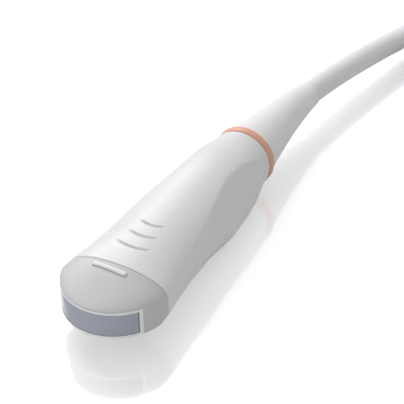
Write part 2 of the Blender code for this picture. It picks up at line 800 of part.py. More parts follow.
def tube_rows(route, stations, steps=RING_STEPS):
    """Circles square to a route, from (at, radius) stations."""
    rows = []
    for at, radius in stations:
        rows.append(circle_row(route_centre(route, at), radius, steps, *route_frame(route, at)))
    return rows


def add_colour_ring(look):
    outer = RING_RADIUS
    profile = (
        (RING_START_AT, MOUTH_RADIUS),
        (RING_START_AT, outer - RING_CHAMFER),
        (RING_START_AT + RING_CHAMFER, outer),
        (RING_END_AT - RING_CHAMFER, outer),
        (RING_END_AT, outer - RING_CHAMFER),
        (RING_END_AT, MOUTH_RADIUS),
    )
    turned("colour_ring", profile, look)


def add_strain_relief(look):
    """A soft taper that bends with the lead, with a spigot into the handle."""
    taper = (
        (RELIEF_START_AT, RELIEF_RADIUS),
        (RELIEF_MIDDLE_AT, RELIEF_MIDDLE_DIAMETER / 2),
        (RELIEF_END_AT, RELIEF_END_DIAMETER / 2),
    )
    steps = 8
    length = RELIEF_END_AT - RELIEF_START_AT
    places = [RELIEF_START_AT + length * i / steps for i in range(steps + 1)]
    spigot = MOUTH_RADIUS - FIT
    outer = [(RELIEF_SPIGOT_START, spigot), (RELIEF_START_AT, spigot)]
    outer += [(at, smooth_profile(taper, at)) for at in places]
    bore = [(at, RELIEF_BORE) for at in (RELIEF_SPIGOT_START, *places)]
    walled("strain_relief", tube_rows(LEAD_ROUTE, outer), tube_rows(LEAD_ROUTE, bore), look)


def add_core(look):
    """The bundle of wires: spread flat at the boards, gathered round in the relief."""
    steps = 4
    start = CAN_END + FIT
    rows = []
    for i in range(steps + 1):
        share = i / steps
        width = CORE_FLAT_WIDTH + (CORE_DIAMETER - CORE_FLAT_WIDTH) * share
        height = CORE_FLAT_HEIGHT + (CORE_DIAMETER - CORE_FLAT_HEIGHT) * share
        centre = route_centre(LEAD_ROUTE, start + (CORE_GATHERED_AT - start) * share)
        rows.append(circle_row(centre, 0.5, SMALL_STEPS, ACROSS * width, UP * height))
    bend_start = LEAD_ROUTE[1][0] * MM
    bend = RELIEF_END_AT - bend_start
    stations = [(bend_start + bend * i / steps, CORE_DIAMETER / 2) for i in range(steps + 1)]
    rows += tube_rows(LEAD_ROUTE, stations, SMALL_STEPS)
    solid("cable_core", rows, look)


def add_anchorage(looks):
    """The crimped ferrule and the clamp that take the pull of the lead."""
    bore = CORE_DIAMETER / 2 + FIT
    rim = bore + FERRULE_WALL
    pieces = (
        ("crimp_ferrule", FERRULE_LENGTH, bore, rim, "brass"),
        ("cable_clamp", CLAMP_LENGTH, rim + FIT, CLAMP_RADIUS, "black"),
    )
    for name, length, inner, outer, look in pieces:
        start = FERRULE_END - length
        profile = ((start, inner), (start, outer), (FERRULE_END, outer), (FERRULE_END, inner))
        turned(name, profile, looks[look])


def coil_clearance_at(route, start):
    """Where the end of a lead that sets out from start meets the coil's side."""
    centre = place(COIL_AT, COIL_Y, 0.0)
    at = start
    while at < route[-1][0] * MM:
        middle = route_centre(route, at + FIT)
        side = route_frame(route, at + FIT)[0] * LEAD_DIAMETER / 2
        away = min((middle + way * side - centre).xy.length for way in (-1, 1))
        if away < COIL_OUTER + FIT:
            break
        at += FIT
    return at


def add_lead(name, route, start, look):
    """A tube along the route to the coil, as a curve with filled ends."""
    end = coil_clearance_at(route, start)
    count = max(2, round((end - start) / LEAD_POINT_STEP))
    curve = bpy.data.curves.new(name, "CURVE")
    curve.dimensions = "3D"
    curve.bevel_depth = LEAD_DIAMETER / 2
    curve.bevel_resolution = 4
    curve.use_fill_caps = True
    spline = curve.splines.new("POLY")
    spline.points.add(count)
    for i, point in enumerate(spline.points):
        point.co = (*route_centre(route, start + (end - start) * i / count), 1.0)
    made = bpy.data.objects.new(name, curve)
    made.data.materials.append(look)
    bpy.context.scene.collection.objects.link(made)


def add_coil(look):
    """The wound lead's outer shape, turned about the coil's upright axis."""
    section = rounded_rectangle(COIL_HALF_WIDTH, COIL_HALF_HEIGHT, LEAD_DIAMETER / 2)
    centre = place(COIL_AT, COIL_Y, COIL_MIDDLE_HEIGHT)
    loops = []
    for i in range(COIL_STEPS):
        turn = math.tau * i / COIL_STEPS
        out = Vector((math.cos(turn), math.sin(turn), 0.0))
        loops.append([centre + out * (COIL_RADIUS + x) + UP * z for x, z in section])
    looped("cable_coil", loops, look)


def add_ties(look):
    """Flat straps round the coil, which stands on them."""
    # A straight strap crosses the coil's curved inner side, so it stands off by this much
    bulge = COIL_INNER - math.sqrt(COIL_INNER**2 - (TIE_WIDTH / 2) ** 2)
    for number, turn in enumerate(TIE_DIRECTIONS, 1):
        out = Vector((math.cos(turn), math.sin(turn), 0.0))
        along = Vector((-out.y, out.x, 0.0))
        centre = place(COIL_AT, COIL_Y, COIL_MIDDLE_HEIGHT) + out * (COIL_RADIUS - bulge / 2)
        skins = []
        for gap in (FIT + TIE_THICKNESS, FIT):
            outline = rounded_rectangle(
                COIL_HALF_WIDTH + bulge / 2 + gap,
                COIL_HALF_HEIGHT + gap,
                LEAD_DIAMETER / 2 + gap,
            )
            edges = (-TIE_WIDTH / 2, TIE_WIDTH / 2)
            skins.append([
                [centre + along * reach + out * x + UP * z for x, z in outline]
                for reach in edges
            ])
        walled(f"coil_tie_{number}", *skins, look)


# Connector


def connector_slab(name, length, width, corner, levels, look=None):
    """A rounded rectangle in plan, lofted through (height, inset) levels."""
    middle = CONNECTOR_REAR_AT - CONNECTOR_LENGTH / 2
    rows = []
    for up, inset in levels:
        outline = rounded_rectangle(length / 2 - inset, width / 2 - inset, corner - inset)
        rows.append([place(middle + x, CONNECTOR_Y + y, up) for x, y in outline])
    return solid(name, rows, look)


def screw_places():
    reach = CONNECTOR_WIDTH / 2 - SCREWS_FROM_SIDE
    front = CONNECTOR_FRONT_AT + SCREWS_FROM_FRONT
    rear = CONNECTOR_REAR_AT - SCREWS_FROM_REAR
    return [
        place(at, CONNECTOR_Y + way * reach, 0.0) for at in (front, rear) for way in (-1, 1)
    ]


def add_case_half(name, lower, look):
    """A tray with a rounded plan, screw bosses, and openings for the shroud and the lead."""
    def level(up):
        return up if lower else CONNECTOR_HEIGHT - up

    seam = CONNECTOR_AXIS - SEAM / 2
    levels = ((level(0.0), CONNECTOR_EDGE), (level(CONNECTOR_EDGE), 0.0), (level(seam), 0.0))
    half = connector_slab(name, CONNECTOR_LENGTH, CONNECTOR_WIDTH, CONNECTOR_CORNER, levels, look)
    cut(half, connector_slab(
        f"{name}_hollow_guide",
        CONNECTOR_LENGTH - 2 * CONNECTOR_WALL,
        CONNECTOR_WIDTH - 2 * CONNECTOR_WALL,
        CONNECTOR_CORNER - CONNECTOR_WALL,
        ((level(CONNECTOR_WALL), 0.0), (level(CONNECTOR_AXIS + FIT), 0.0)),
    ))
    mouth_centre = CONNECTOR_AXIS - AXIS_HEIGHT
    mouth_reach = SHROUD_HEIGHT / 2 + FIT
    cut(half, block(
        f"{name}_mouth_guide",
        CONNECTOR_FRONT_AT - CONNECTOR_WALL,
        CONNECTOR_FRONT_AT + 2 * CONNECTOR_WALL,
        SHROUD_WIDTH / 2 + FIT,
        mouth_centre - mouth_reach,
        mouth_centre + mouth_reach,
        y=CONNECTOR_Y,
    ))
    neck_ends = (CONNECTOR_REAR_AT - 2 * CONNECTOR_WALL, CONNECTOR_REAR_AT + CONNECTOR_WALL)
    neck_radius = CORD_RELIEF_NECK_DIAMETER / 2 + FIT
    neck = [circle_row(place(at, CORD_Y, CONNECTOR_AXIS), neck_radius, RING_STEPS)
            for at in neck_ends]
    cut(half, solid(f"{name}_neck_guide", neck))
    add_bosses(half, name, lower, level, seam)


def add_bosses(half, name, lower, level, seam):
    """Screw bosses, bored through and sunk for the heads below, blind above."""
    places = screw_places()
    boss = sorted((level(CONNECTOR_WALL / 2), level(seam)))
    for number, centre in enumerate(places, 1):
        stations = [(up, BOSS_RADIUS) for up in boss]
        join(half, pin(f"{name}_boss_guide_{number}", centre, stations))
    hole = SCREW_RADIUS + FIT
    for number, centre in enumerate(places, 1):
        if lower:
            head = SCREW_HEAD_RADIUS + FIT
            seat = SCREW_SINK + SCREW_HEAD_HEIGHT + FIT
            stations = ((-FIT, head), (seat, head), (seat, hole), (CONNECTOR_AXIS + FIT, hole))
        else:
            end = SCREW_SINK + SCREW_LENGTH + FIT
            stations = ((CONNECTOR_AXIS - FIT, hole), (end, hole))
        cut(half, pin(f"{name}_hole_guide_{number}", centre, stations))


def add_screws(look):
    under_head = SCREW_SINK + SCREW_HEAD_HEIGHT
    stations = (
        (SCREW_SINK, SCREW_HEAD_RADIUS),
        (under_head, SCREW_HEAD_RADIUS),
        (under_head, SCREW_RADIUS),
        (SCREW_SINK + SCREW_LENGTH, SCREW_RADIUS),
    )
    for number, centre in enumerate(screw_places(), 1):
        pin(f"connector_screw_{number}", centre, stations, look)


def mating_rows(margin, start, length):
    """Rounded outlines of the mating end, set in by a margin."""
    outline = rounded_rectangle(
        SHROUD_WIDTH / 2 - margin, SHROUD_HEIGHT / 2 - margin, SHROUD_CORNER - margin / 2
    )
    return [
        [place(at, CONNECTOR_Y + y, CONNECTOR_AXIS + z) for y, z in outline]
        for at in (start, start + length)
    ]


def add_mating_end(looks):
    """The metal shroud and, inside it, the block of sockets with its board."""
    walled(
        "connector_shroud",
        mating_rows(0.0, SHROUD_AT, SHROUD_LENGTH),
        mating_rows(SHROUD_WALL, SHROUD_AT, SHROUD_LENGTH),
        looks["steel"],
    )
    rows = mating_rows(SHROUD_WALL + FIT, BLOCK_AT, BLOCK_LENGTH)
    contact = solid("contact_block", rows, looks["black"])
    cut(contact, socket_guide())
    up = CONNECTOR_AXIS - AXIS_HEIGHT
    block("connector_board", PCB_AT, PCB_AT + PCB_LENGTH, PCB_WIDTH / 2, up - PCB_THICKNESS / 2,
          up + PCB_THICKNESS / 2, looks["board"], y=CONNECTOR_Y)


def socket_guide():
    """A square peg for each socket, all in one guide."""
    bm = bmesh.new()
    size = Matrix.Diagonal((2 * SOCKET_DEPTH, SOCKET_SIZE, SOCKET_SIZE, 1.0))
    for column in range(SOCKET_COLUMNS):
        for row in range(SOCKET_ROWS):
            y = (column - (SOCKET_COLUMNS - 1) / 2) * SOCKET_PITCH
            z = (row - (SOCKET_ROWS - 1) / 2) * SOCKET_PITCH
            centre = place(BLOCK_AT, CONNECTOR_Y + y, CONNECTOR_AXIS + z)
            bmesh.ops.create_cube(bm, size=1.0, matrix=Matrix.Translation(centre) @ size)
    return add_object("socket_guide", bm)


def add_connector_relief(look):
    """A tapered sleeve whose neck and flange sit in the case's rear wall."""
    neck = CORD_RELIEF_NECK_DIAMETER / 2
    wide = CORD_RELIEF_DIAMETER / 2
    wall_inside = CONNECTOR_REAR_AT - CONNECTOR_WALL - FIT
    stations = [
        (wall_inside - CORD_RELIEF_FLANGE, wide),
        (wall_inside, wide),
        (wall_inside, neck),
        (CORD_RELIEF_START_AT, neck),
    ]
    taper = ((CORD_RELIEF_START_AT, wide), (CORD_RELIEF_END_AT, CORD_RELIEF_END_DIAMETER / 2))
    steps = 4
    for i in range(steps + 1):
        at = CORD_RELIEF_START_AT + CORD_RELIEF_LENGTH * i / steps
        stations.append((at, smooth_profile(taper, at)))
    solid("connector_relief", tube_rows(TAIL_ROUTE, stations), look)


def make_looks():
    return {
        "shell": material("White housing plastic", (0.82, 0.82, 0.81), 0.32),
        "nose": material("Off-white nose plastic", (0.74, 0.74, 0.75), 0.4),
        "lens": material("Grey lens silicone", (0.27, 0.29, 0.35), 0.38),
        "ring": material("Salmon ring plastic", (0.74, 0.33, 0.19), 0.35),
        "relief": material("Pale relief elastomer", (0.70, 0.70, 0.72), 0.5),
        "lead": material("Grey lead jacket", (0.58, 0.58, 0.60), 0.5),
        "resin": material("Amber matching resin", (0.55, 0.36, 0.12), 0.4),
        "filled_resin": material("Grey matching resin", (0.30, 0.30, 0.32), 0.5),
        "ceramic": material("Piezo ceramic", (0.60, 0.55, 0.42), 0.55),
        "rubber": material("Backing absorber", (0.05, 0.05, 0.055), 0.8),
        "frame": material("Carrier plastic", (0.12, 0.12, 0.13), 0.5),
        "film": material("Polyimide film", (0.50, 0.23, 0.04), 0.35),
        "board": material("Green circuit board", (0.03, 0.18, 0.07), 0.45),
        "black": material("Black moulding", (0.03, 0.03, 0.03), 0.5),
        "brass": material("Brass", (0.66, 0.49, 0.20), 0.3, 1.0),
        "copper": material("Tinned copper sheet", (0.72, 0.62, 0.52), 0.35, 1.0),
        "aluminium": material("Aluminium sheet", (0.75, 0.76, 0.78), 0.35, 1.0),
        "steel": material("Nickel-plated steel", (0.62, 0.61, 0.58), 0.3, 1.0),
        "strap": material("Black hook-and-loop strap", (0.03, 0.03, 0.035), 0.9),
        "case": material("Grey connector plastic", (0.42, 0.43, 0.45), 0.45),
    }


def main():
    clear_scene()
    looks = make_looks()
    add_nose_cap(looks["nose"])
    add_stack(looks)
    cut_grooves(add_shell("upper_shell", upper_row, 1, looks["shell"]))
    add_shell("lower_shell", lower_row, -1, looks["shell"])
    add_electronics(looks)
    add_colour_ring(looks["ring"])
    add_strain_relief(looks["relief"])
    add_core(looks["film"])
    add_anchorage(looks)
    add_lead("cable_lead", LEAD_ROUTE, RELIEF_END_AT + FIT, looks["lead"])
    add_coil(looks["lead"])
    add_ties(looks["strap"])
    add_lead("cable_tail", TAIL_ROUTE, CORD_RELIEF_END_AT + FIT, looks["lead"])
    add_connector_relief(looks["relief"])
    add_case_half("connector_lower", True, looks["case"])
    add_case_half("connector_upper", False, looks["case"])
    add_screws(looks["steel"])
    add_mating_end(looks)


main()
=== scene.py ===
"""Dressed model of a micro-convex ultrasound probe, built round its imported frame.

Lengths are metres in the frame's axes: X from the lens towards the lead, Y across, Z up.
The probe's outlines are tables in millimetres, whose first number is the distance behind
the apex of the lens. Places named "at" are that distance too, in metres.
"""

import math

import bmesh
import bpy
from bpy.props import FloatProperty, FloatVectorProperty, PointerProperty
from bpy.types import Operator, Panel, PropertyGroup
from mathutils import Matrix, Vector


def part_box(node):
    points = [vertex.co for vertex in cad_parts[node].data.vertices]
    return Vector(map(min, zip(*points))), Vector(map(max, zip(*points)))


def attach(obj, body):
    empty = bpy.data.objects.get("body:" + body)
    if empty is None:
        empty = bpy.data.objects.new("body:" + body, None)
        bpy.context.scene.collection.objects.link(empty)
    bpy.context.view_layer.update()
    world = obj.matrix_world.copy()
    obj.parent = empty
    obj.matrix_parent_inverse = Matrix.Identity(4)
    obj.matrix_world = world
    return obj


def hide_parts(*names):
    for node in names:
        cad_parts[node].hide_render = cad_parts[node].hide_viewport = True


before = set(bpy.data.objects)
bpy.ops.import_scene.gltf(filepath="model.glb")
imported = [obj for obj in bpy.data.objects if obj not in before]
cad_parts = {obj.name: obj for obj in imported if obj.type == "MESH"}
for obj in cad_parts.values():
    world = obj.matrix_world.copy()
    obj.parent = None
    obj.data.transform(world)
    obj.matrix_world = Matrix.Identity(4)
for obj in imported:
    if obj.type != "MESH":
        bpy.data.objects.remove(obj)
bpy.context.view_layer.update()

bl_info = {
    "name": "Ultrasound Probe Dressing",
    "version": (1, 0, 0),
    "blender": (4, 5, 0),
    "location": "View3D > Sidebar > Probe",
    "description": "Models and finishes an ultrasound probe, its lead and its connector",
    "category": "Object",
}

MM = 0.001
BODY = "root"
X, Y, Z = Vector((1, 0, 0)), Vector((0, 1, 0)), Vector((0, 0, 1))

# Places that come from the frame
LENS_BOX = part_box("lens")
RING_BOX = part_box("colour_ring")
COIL_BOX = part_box("cable_coil")
APEX_X = LENS_BOX[0].x
AXIS_Z = (RING_BOX[0].z + RING_BOX[1].z) / 2
RELIEF_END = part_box("strain_relief")[1].x - APEX_X
LENS_HALF_HEIGHT = (LENS_BOX[1].z - LENS_BOX[0].z) / 2
CORD_RELIEF_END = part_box("connector_relief")[1].x - APEX_X

# Lens and the pocket that it sits in; angles in degrees
LENS_RADIUS = 16.0 * MM
LENS_HALF_ANGLE = 56
LENS_END_GAP = 0.8
LENS_GAP = 0.06 * MM
LENS_THICKNESS = 1.4 * MM
LENS_EDGE = 0.16 * MM
POCKET_DEPTH = 1.6 * MM

# Housing: (place behind the apex, size there), in millimetres
HALF_WIDTHS = (
    (7.05, 13.26), (10.4, 15.45), (14.0, 16.7), (17.0, 16.7), (25.0, 15.9),
    (36.0, 15.2), (52.0, 15.1), (72.0, 13.4), (89.5, 10.2),
)
HALF_HEIGHTS = (
    (0.0, 4.9), (6.0, 6.3), (17.0, 8.7), (25.0, 9.7), (36.0, 10.3),
    (52.0, 11.1), (72.0, 12.0), (89.5, 10.2),
)
UPRIGHT_SIDES = ((0.0, 4.5), (7.5, 4.3), (17.0, 2.3), (36.0, 0.3))
CREASE_HEIGHTS = (
    (17.0, 2.3), (36.0, 5.2), (52.0, 8.1), (60.0, 9.4), (68.0, 10.05), (75.0, 9.6),
    (80.5, 8.2), (86.0, 5.8), (91.0, 4.0),
)
SCOOP_DEPTHS = ((20.0, 0.0), (56.0, 1.7), (70.0, 1.7), (84.0, 0.8), (90.5, 0.0))

# Roundness of the housing's sections, and the share of the fuller underside, by place
SECTION_POWERS = ((72.0, 2.15), (89.5, 2.0))
BELLY_SHARES = ((48.0, 0.0), (64.0, 1.0), (80.0, 1.0), (90.0, 0.0))
BELLY_POWER = 2.8
SCOOP_POWER = 1.5

# Nose: rings of its skin as shares of its radius, and its back edge as (place, inset) in
# millimetres
NOSE_RINGS = (
    0.0, 0.14, 0.28, 0.41, 0.53, 0.64, 0.73, 0.81, 0.875, 0.92, 0.952, 0.972, 0.985, 0.993,
    0.998, 1.0,
)
NOSE_EDGE_POWER = 12
WALL_SHARE = 0.995
JOINT_EDGE = (
    (16.4, 0.0), (16.75, 0.0), (16.88, 0.03), (16.96, 0.12), (17.0, 0.28), (17.0, 2.2),
)

# Orientation bar: its place, its rounded ends as a share of its half, and how upright a face
# must be to take the white painted highlight on its top; steeper faces take grey painted shade
BAR_AT = 14.85 * MM
BAR_ACROSS = 1.1 * MM
BAR_SLANT = 0.2 * MM
BAR_END_SHARE = 0.14
BAR_PAINTED_HIGHLIGHT_UPRIGHT = 0.55

# Handle shells: rows and columns of each sheet, and (share of the rows, place) marks
SHELL_START = 17.14 * MM
SHELL_END = 91.5 * MM
SHELL_WALL = 1.2 * MM
SHELL_EDGE = 0.3 * MM
SHELL_EDGE_END = SHELL_START + 0.32 * MM
SEAM = 0.05 * MM
UNSMOOTHED = 2.0 * MM
TOP_GRID = (300, 110)
TOP_ROWS = (
    (0.0, SHELL_START), (0.02, SHELL_EDGE_END), (0.06, 22.5 * MM), (0.5, 40.5 * MM),
    (1.0, SHELL_END),
)
BOTTOM_GRID = (150, 90)
BOTTOM_ROWS = ((0.0, SHELL_START), (0.03, SHELL_EDGE_END), (1.0, SHELL_END))

# The coloured ring lies between the handle and the strain relief, a little proud of both
RING_START = 91.64 * MM
RING_END = 94.34 * MM
RING_RADIUS = 10.3 * MM
RING_DEPTH = 2.4 * MM

# Grip grooves, whose ends have a share of their width
GROOVE_LENGTHS = (11.4 * MM, 9.6 * MM, 8.2 * MM)
GROOVE_BOW = 1.4 * MM
GROOVE_END_SHARE = 0.7
FIRST_GROOVE_AT = 24.9 * MM
GROOVE_SPACING = 5.4 * MM

# Strain relief: (place, radius), and its rear edge as (place from the end, step down), in
# millimetres
RELIEF_TAPER = ((93.5, 9.7), (112.0, 7.2), (136.0, 4.4))
RELIEF_START = RING_END + 0.14 * MM
RELIEF_EDGE = 0.25 * MM
RELIEF_EDGE_STEP = 0.3 * MM
RELIEF_REAR_EDGE = ((-0.15, 0.02), (0.0, 0.16))
SPIGOT_STEP = 1.4 * MM
SPIGOT_LENGTH = 3.0 * MM
MOUTH_GAP = 0.05 * MM
LEAD_END_GAP = 0.3 * MM

# The connector's strain relief: its radii and its ribs
PLUG_RELIEF_RADII = ((0.0, 5.5 * MM), (1.0, 4.5 * MM))
PLUG_NECK_STEP = 1.2 * MM
PLUG_RIB_DEPTH = 0.35 * MM
PLUG_RELIEF_GAP = 0.3 * MM

# Rounding of the dressed pieces' edges
STRAP_EDGE = 0.3 * MM
SHROUD_EDGE = 0.2 * MM
SOCKET_EDGE = 0.15 * MM
SCREW_EDGE = 0.12 * MM

# The lead's middle line, in metres: distance behind the lens apex, across and up
LEAD_ROUTE = (
    (0.086, 0.0, 0.012), (0.113, 0.0, 0.012), (0.125, -0.0003, 0.0119),
    (0.136, -0.0011, 0.01155), (0.147, -0.0024, 0.01105), (0.157, -0.0039, 0.0105),
    (0.167, -0.0057, 0.0098), (0.177, -0.0077, 0.0091), (0.187, -0.0099, 0.0083),
    (0.197, -0.01225, 0.0075), (0.218, -0.0175, 0.0053),
)
TAIL_ROUTE = (
    (0.145, -0.0975, 0.010), (0.152, -0.0976, 0.010), (0.162, -0.0987, 0.0101),
    (0.174, -0.1007, 0.0105), (0.181, -0.1015, 0.0112), (0.190, -0.1021, 0.0123),
    (0.207, -0.1022, 0.0130),
)

# Coil: where the lead comes in, and (degrees of winding, column, layer) of each change of place
COIL_ENTRY = 76
COIL_EXIT = 1966
COIL_CHANGE = 100
COIL_STATIONS = (
    (260, "inner", 0), (590, "inner", 1), (950, "inner", 2), (1280, "outer", 2),
    (1610, "outer", 1),
)

SMOOTH_METAL = {"metallic": 1.0, "grain": 3000.0, "relief": 0.001 * MM}
LOOKS = {
    "housing": ("White housing plastic", None, 0.36, {"relief": 0.012 * MM, "contrast": 0.985}),
    "nose": ("Off-white nose plastic", None, 0.42, {"relief": 0.012 * MM, "contrast": 0.98}),
    # The rim's own white, which the bar's top also takes as a painted highlight
    "trim": ("White nose trim", None, 0.3, {"relief": 0.008 * MM, "contrast": 0.985}),
    # Grey painted shade on the bar's steeper faces
    "bar_edge": ("Grey bar edge", None, 0.5, {}),
    "lens": (
        "Grey lens silicone", None, 0.34, {"grain": 900.0, "relief": 0.004 * MM, "contrast": 0.93}
    ),
    "ring": ("Salmon ring plastic", None, 0.36, {"relief": 0.008 * MM}),
    "relief": ("Pale relief elastomer", None, 0.5, {"grain": 1800.0}),
    "lead": ("Grey lead jacket", None, 0.5, {"grain": 1500.0, "relief": 0.025 * MM}),
    "case": (
        "Grey connector plastic", None, 0.48,
        {"grain": 2200.0, "relief": 0.03 * MM, "contrast": 0.93},
    ),
    "strap": (
        "Hook-and-loop strap", None, 0.85, {"relief": 0.12 * MM, "contrast": 0.8, "pile": 2200.0}
    ),
    "black": ("Black moulding", (0.028, 0.028, 0.03), 0.45, {"contrast": 0.8}),
    "steel": ("Nickel-plated steel", (0.62, 0.61, 0.58), 0.28, SMOOTH_METAL),
    "brass": ("Brass", (0.66, 0.49, 0.20), 0.3, SMOOTH_METAL),
    "resin": ("Amber matching resin", (0.55, 0.36, 0.12), 0.4, {}),
    "filled": ("Grey matching resin", (0.30, 0.30, 0.32), 0.5, {}),
    "ceramic": ("Piezo ceramic", (0.60, 0.55, 0.42), 0.55, {}),
    "absorber": ("Backing absorber", (0.05, 0.05, 0.055), 0.8, {}),
    "carrier": ("Carrier plastic", (0.12, 0.12, 0.13), 0.5, {}),
    "film": ("Polyimide film", (0.50, 0.23, 0.04), 0.35, {}),
    "board": ("Green circuit board", (0.03, 0.18, 0.07), 0.45, {}),
    "tinned": ("Tinned copper sheet", (0.72, 0.62, 0.52), 0.35, {"metallic": 1.0}),
    "aluminium": ("Aluminium sheet", (0.75, 0.76, 0.78), 0.35, {"metallic": 1.0}),
}
ROUGHNESS_SPREAD = 0.05
# How dark the painted shade between a pile's loops is, as a share of the tone
GAP_SHADE = 0.3

# Looks of the sealed pieces inside, by the start of their nodes' names
INNER_LOOKS = {
    "outer_matching_layer": "resin", "inner_matching_layer": "filled", "piezo_array": "ceramic",
    "backing_block": "absorber", "array_frame": "carrier", "flex": "film", "cable_core": "film",
    "board_post": "brass", "board": "board", "connector_board": "board", "flex_header": "black",
    "chip": "black", "shield_sleeve": "tinned", "heat_spreader": "aluminium",
    "crimp_ferrule": "brass", "cable_clamp": "black",
}

# Stage: directions in which the lamps stand, sizes in metres, and white
KEY_DIRECTION = (0.42, 0.62, 0.66)
SIDE_DIRECTION = (-0.9, 0.4, 0.25)
LAMP_DISTANCE = 0.9
LAMP_SIZE = 0.5
FLOOR_REACH = 3.0
WHITE = (1.0, 1.0, 1.0, 1.0)


# Settings


def length(name, description, default):
    return FloatProperty(
        name=name, description=description, default=default, subtype="DISTANCE", unit="LENGTH"
    )


def colour(name, description, default):
    return FloatVectorProperty(
        name=name, description=description, default=default, subtype="COLOR", min=0.0, max=1.0
    )


def factor(name, description, default):
    return FloatProperty(
        name=name, description=description, default=default, subtype="FACTOR", min=0.0, max=1.0
    )


def lamp_power(name, description, default):
    return FloatProperty(
        name=name, description=description, default=default, min=0.0, unit="POWER"
    )


class ProbeSizes(PropertyGroup):
    """Sizes of the dressed pieces."""

    rim_width: length("Rim width", "Width of the white rim at the window's ends", 1.0 * MM)
    rim_proud: length("Rim height", "How far the frame stands out round the lens", 0.1 * MM)
    bar_length: length("Bar length", "Length of the orientation bar", 11.9 * MM)
    bar_radius: length("Bar radius", "Roundness of the orientation bar", 1.1 * MM)
    bar_height: length("Bar height", "How far the orientation bar stands out", 0.65 * MM)
    groove_depth: length("Groove depth", "Depth of the grip grooves", 0.85 * MM)
    groove_width: length("Groove width", "Width of the grip grooves", 1.0 * MM)
    ring_chamfer: length("Ring edge", "Rounding of the coloured ring's edges", 0.5 * MM)
    mouth_depth: length("Mouth depth", "How far the lead goes into the strain relief", 2.5 * MM)
    lead_diameter: length("Lead diameter", "Outside of the screened lead", 7.8 * MM)
    edge_break: length("Edge rounding", "Rounding of the connector's edges", 0.35 * MM)


class ProbeColours(PropertyGroup):
    """Base colours of the finishes."""

    housing: colour("Housing", "White housing plastic", (0.80, 0.80, 0.80))
    nose: colour("Nose", "Off-white nose plastic", (0.595, 0.595, 0.597))
    # The rim's own white, which the bar's top also takes as a painted highlight
    trim: colour("Trim", "White rim, and painted highlight on the orientation bar's top", (0.88, 0.88, 0.87))
    lens: colour("Lens", "Grey lens silicone", (0.39, 0.415, 0.49))
    ring: colour("Ring", "Salmon ring plastic", (0.83, 0.42, 0.30))
    relief: colour("Strain relief", "Pale grey elastomer", (0.89, 0.89, 0.895))
    lead: colour("Lead", "Grey lead jacket", (0.84, 0.84, 0.845))
    strap: colour("Strap", "Hook-and-loop strap", (0.045, 0.045, 0.05))
    case: colour("Connector", "Grey connector plastic", (0.42, 0.43, 0.45))
    # Grey painted shade on the bar's steeper faces
    bar_edge: colour("Bar edge", "Painted shade on the bar's steeper faces", (0.42, 0.42, 0.42))


class StageSettings(PropertyGroup):
    """Floor and light."""

    floor: colour("Floor", "Colour of the floor", (0.7, 0.7, 0.7))
    gloss: factor("Floor gloss", "Share of mirror reflection in the floor", 0.33)
    roughness: factor("Floor roughness", "Blur of the floor's reflection", 0.1)
    lift: factor("Floor lift", "White that the floor adds for the camera alone", 0.4)
    fill: factor("Fill light", "Light from all round", 0.5)
    key: lamp_power("Key light", "Power of the lamp behind the probe's far side", 4.3)
    side: lamp_power("Side light", "Power of the low lamp in front of the lens", 1.2)


# Curves and outlines


def profile(stations, at):
    """A curve through (place, value) stations that never overshoots between them."""
    if at <= stations[0][0]:
        return stations[0][1]
    if at >= stations[-1][0]:
        return stations[-1][1]
    steps = [b[0] - a[0] for a, b in zip(stations, stations[1:])]
    slopes = [(b[1] - a[1]) / step for a, b, step in zip(stations, stations[1:], steps)]
    tangents = [slopes[0]]
    for before, after in zip(slopes, slopes[1:]):
        tangents.append(2 * before * after / (before + after) if before * after > 0 else 0.0)
    tangents.append(slopes[-1])
    k = max(i for i in range(len(steps)) if at >= stations[i][0])
    t = (at - stations[k][0]) / steps[k]
    return (
        stations[k][1] * (1 + 2 * t) * (1 - t) ** 2
        + stations[k + 1][1] * t * t * (3 - 2 * t)
        + tangents[k] * steps[k] * t * (1 - t) ** 2
        + tangents[k + 1] * steps[k] * t * t * (t - 1)
    )


def outline(stations, at):
    """The value of an outline table at a place in metres, in metres."""
    return profile(stations, at / MM) * MM


def half_width(at):
    if at < HALF_WIDTHS[0][0] * MM:
        return math.sqrt(max(0.0, LENS_RADIUS**2 - (LENS_RADIUS - at) ** 2))
    return outline(HALF_WIDTHS, at)


def half_height(at):
    return outline(HALF_HEIGHTS, at)


def upright_side(at):
    return outline(UPRIGHT_SIDES, at)


def crease_height(at):
    return max(upright_side(at), outline(CREASE_HEIGHTS, at))


def section_power(at):
    return profile(SECTION_POWERS, at / MM)


def face_height(at, across):
    """Height of the broad face above the axis."""
    power = section_power(at)
    share = max(0.0, 1 - (abs(across) / max(half_width(at), MM / 100)) ** power)
    upright = upright_side(at)
    return upright + (half_height(at) - upright) * share ** (1 / power)


def place(at, across, up):
    """A point from its distance behind the apex, its Y and its height above the axis."""
    return Vector((APEX_X + at, across, AXIS_Z + up))


def spread(marks, share):
    """A straight-line scale through (share, value) marks."""
    for (low, start), (high, end) in zip(marks, marks[1:]):
        if share <= high:
            return start + (end - start) * (share - low) / (high - low)
    return marks[-1][1]


# Mesh building


def finished(name, bm, kind, replaced, sharp=35):
    """An object on the probe's body from a bmesh, in the look of a kind.

    Edges that turn by more than the sharp angle, in degrees, stay crisp.
    """
    bmesh.ops.recalc_face_normals(bm, faces=bm.faces)
    mesh = bpy.data.meshes.new(name)
    bm.to_mesh(mesh)
    bm.free()
    mesh.shade_smooth()
    mesh.set_sharp_from_angle(angle=math.radians(sharp))
    mesh.materials.append(look(kind))
    made = bpy.data.objects.new(name, mesh)
    bpy.context.scene.collection.objects.link(made)
    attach(made, BODY)
    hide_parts(*replaced)
    return made


def laid_grid(bm, along, around, point_at):
    """A sheet of quads laid over a surface that is given by two shares from 0 to 1."""
    made = bmesh.ops.create_grid(bm, x_segments=along, y_segments=around, size=0.5)
    for vert in made["verts"]:
        vert.co = point_at(vert.co.x + 0.5, vert.co.y + 0.5)
    return made["verts"]


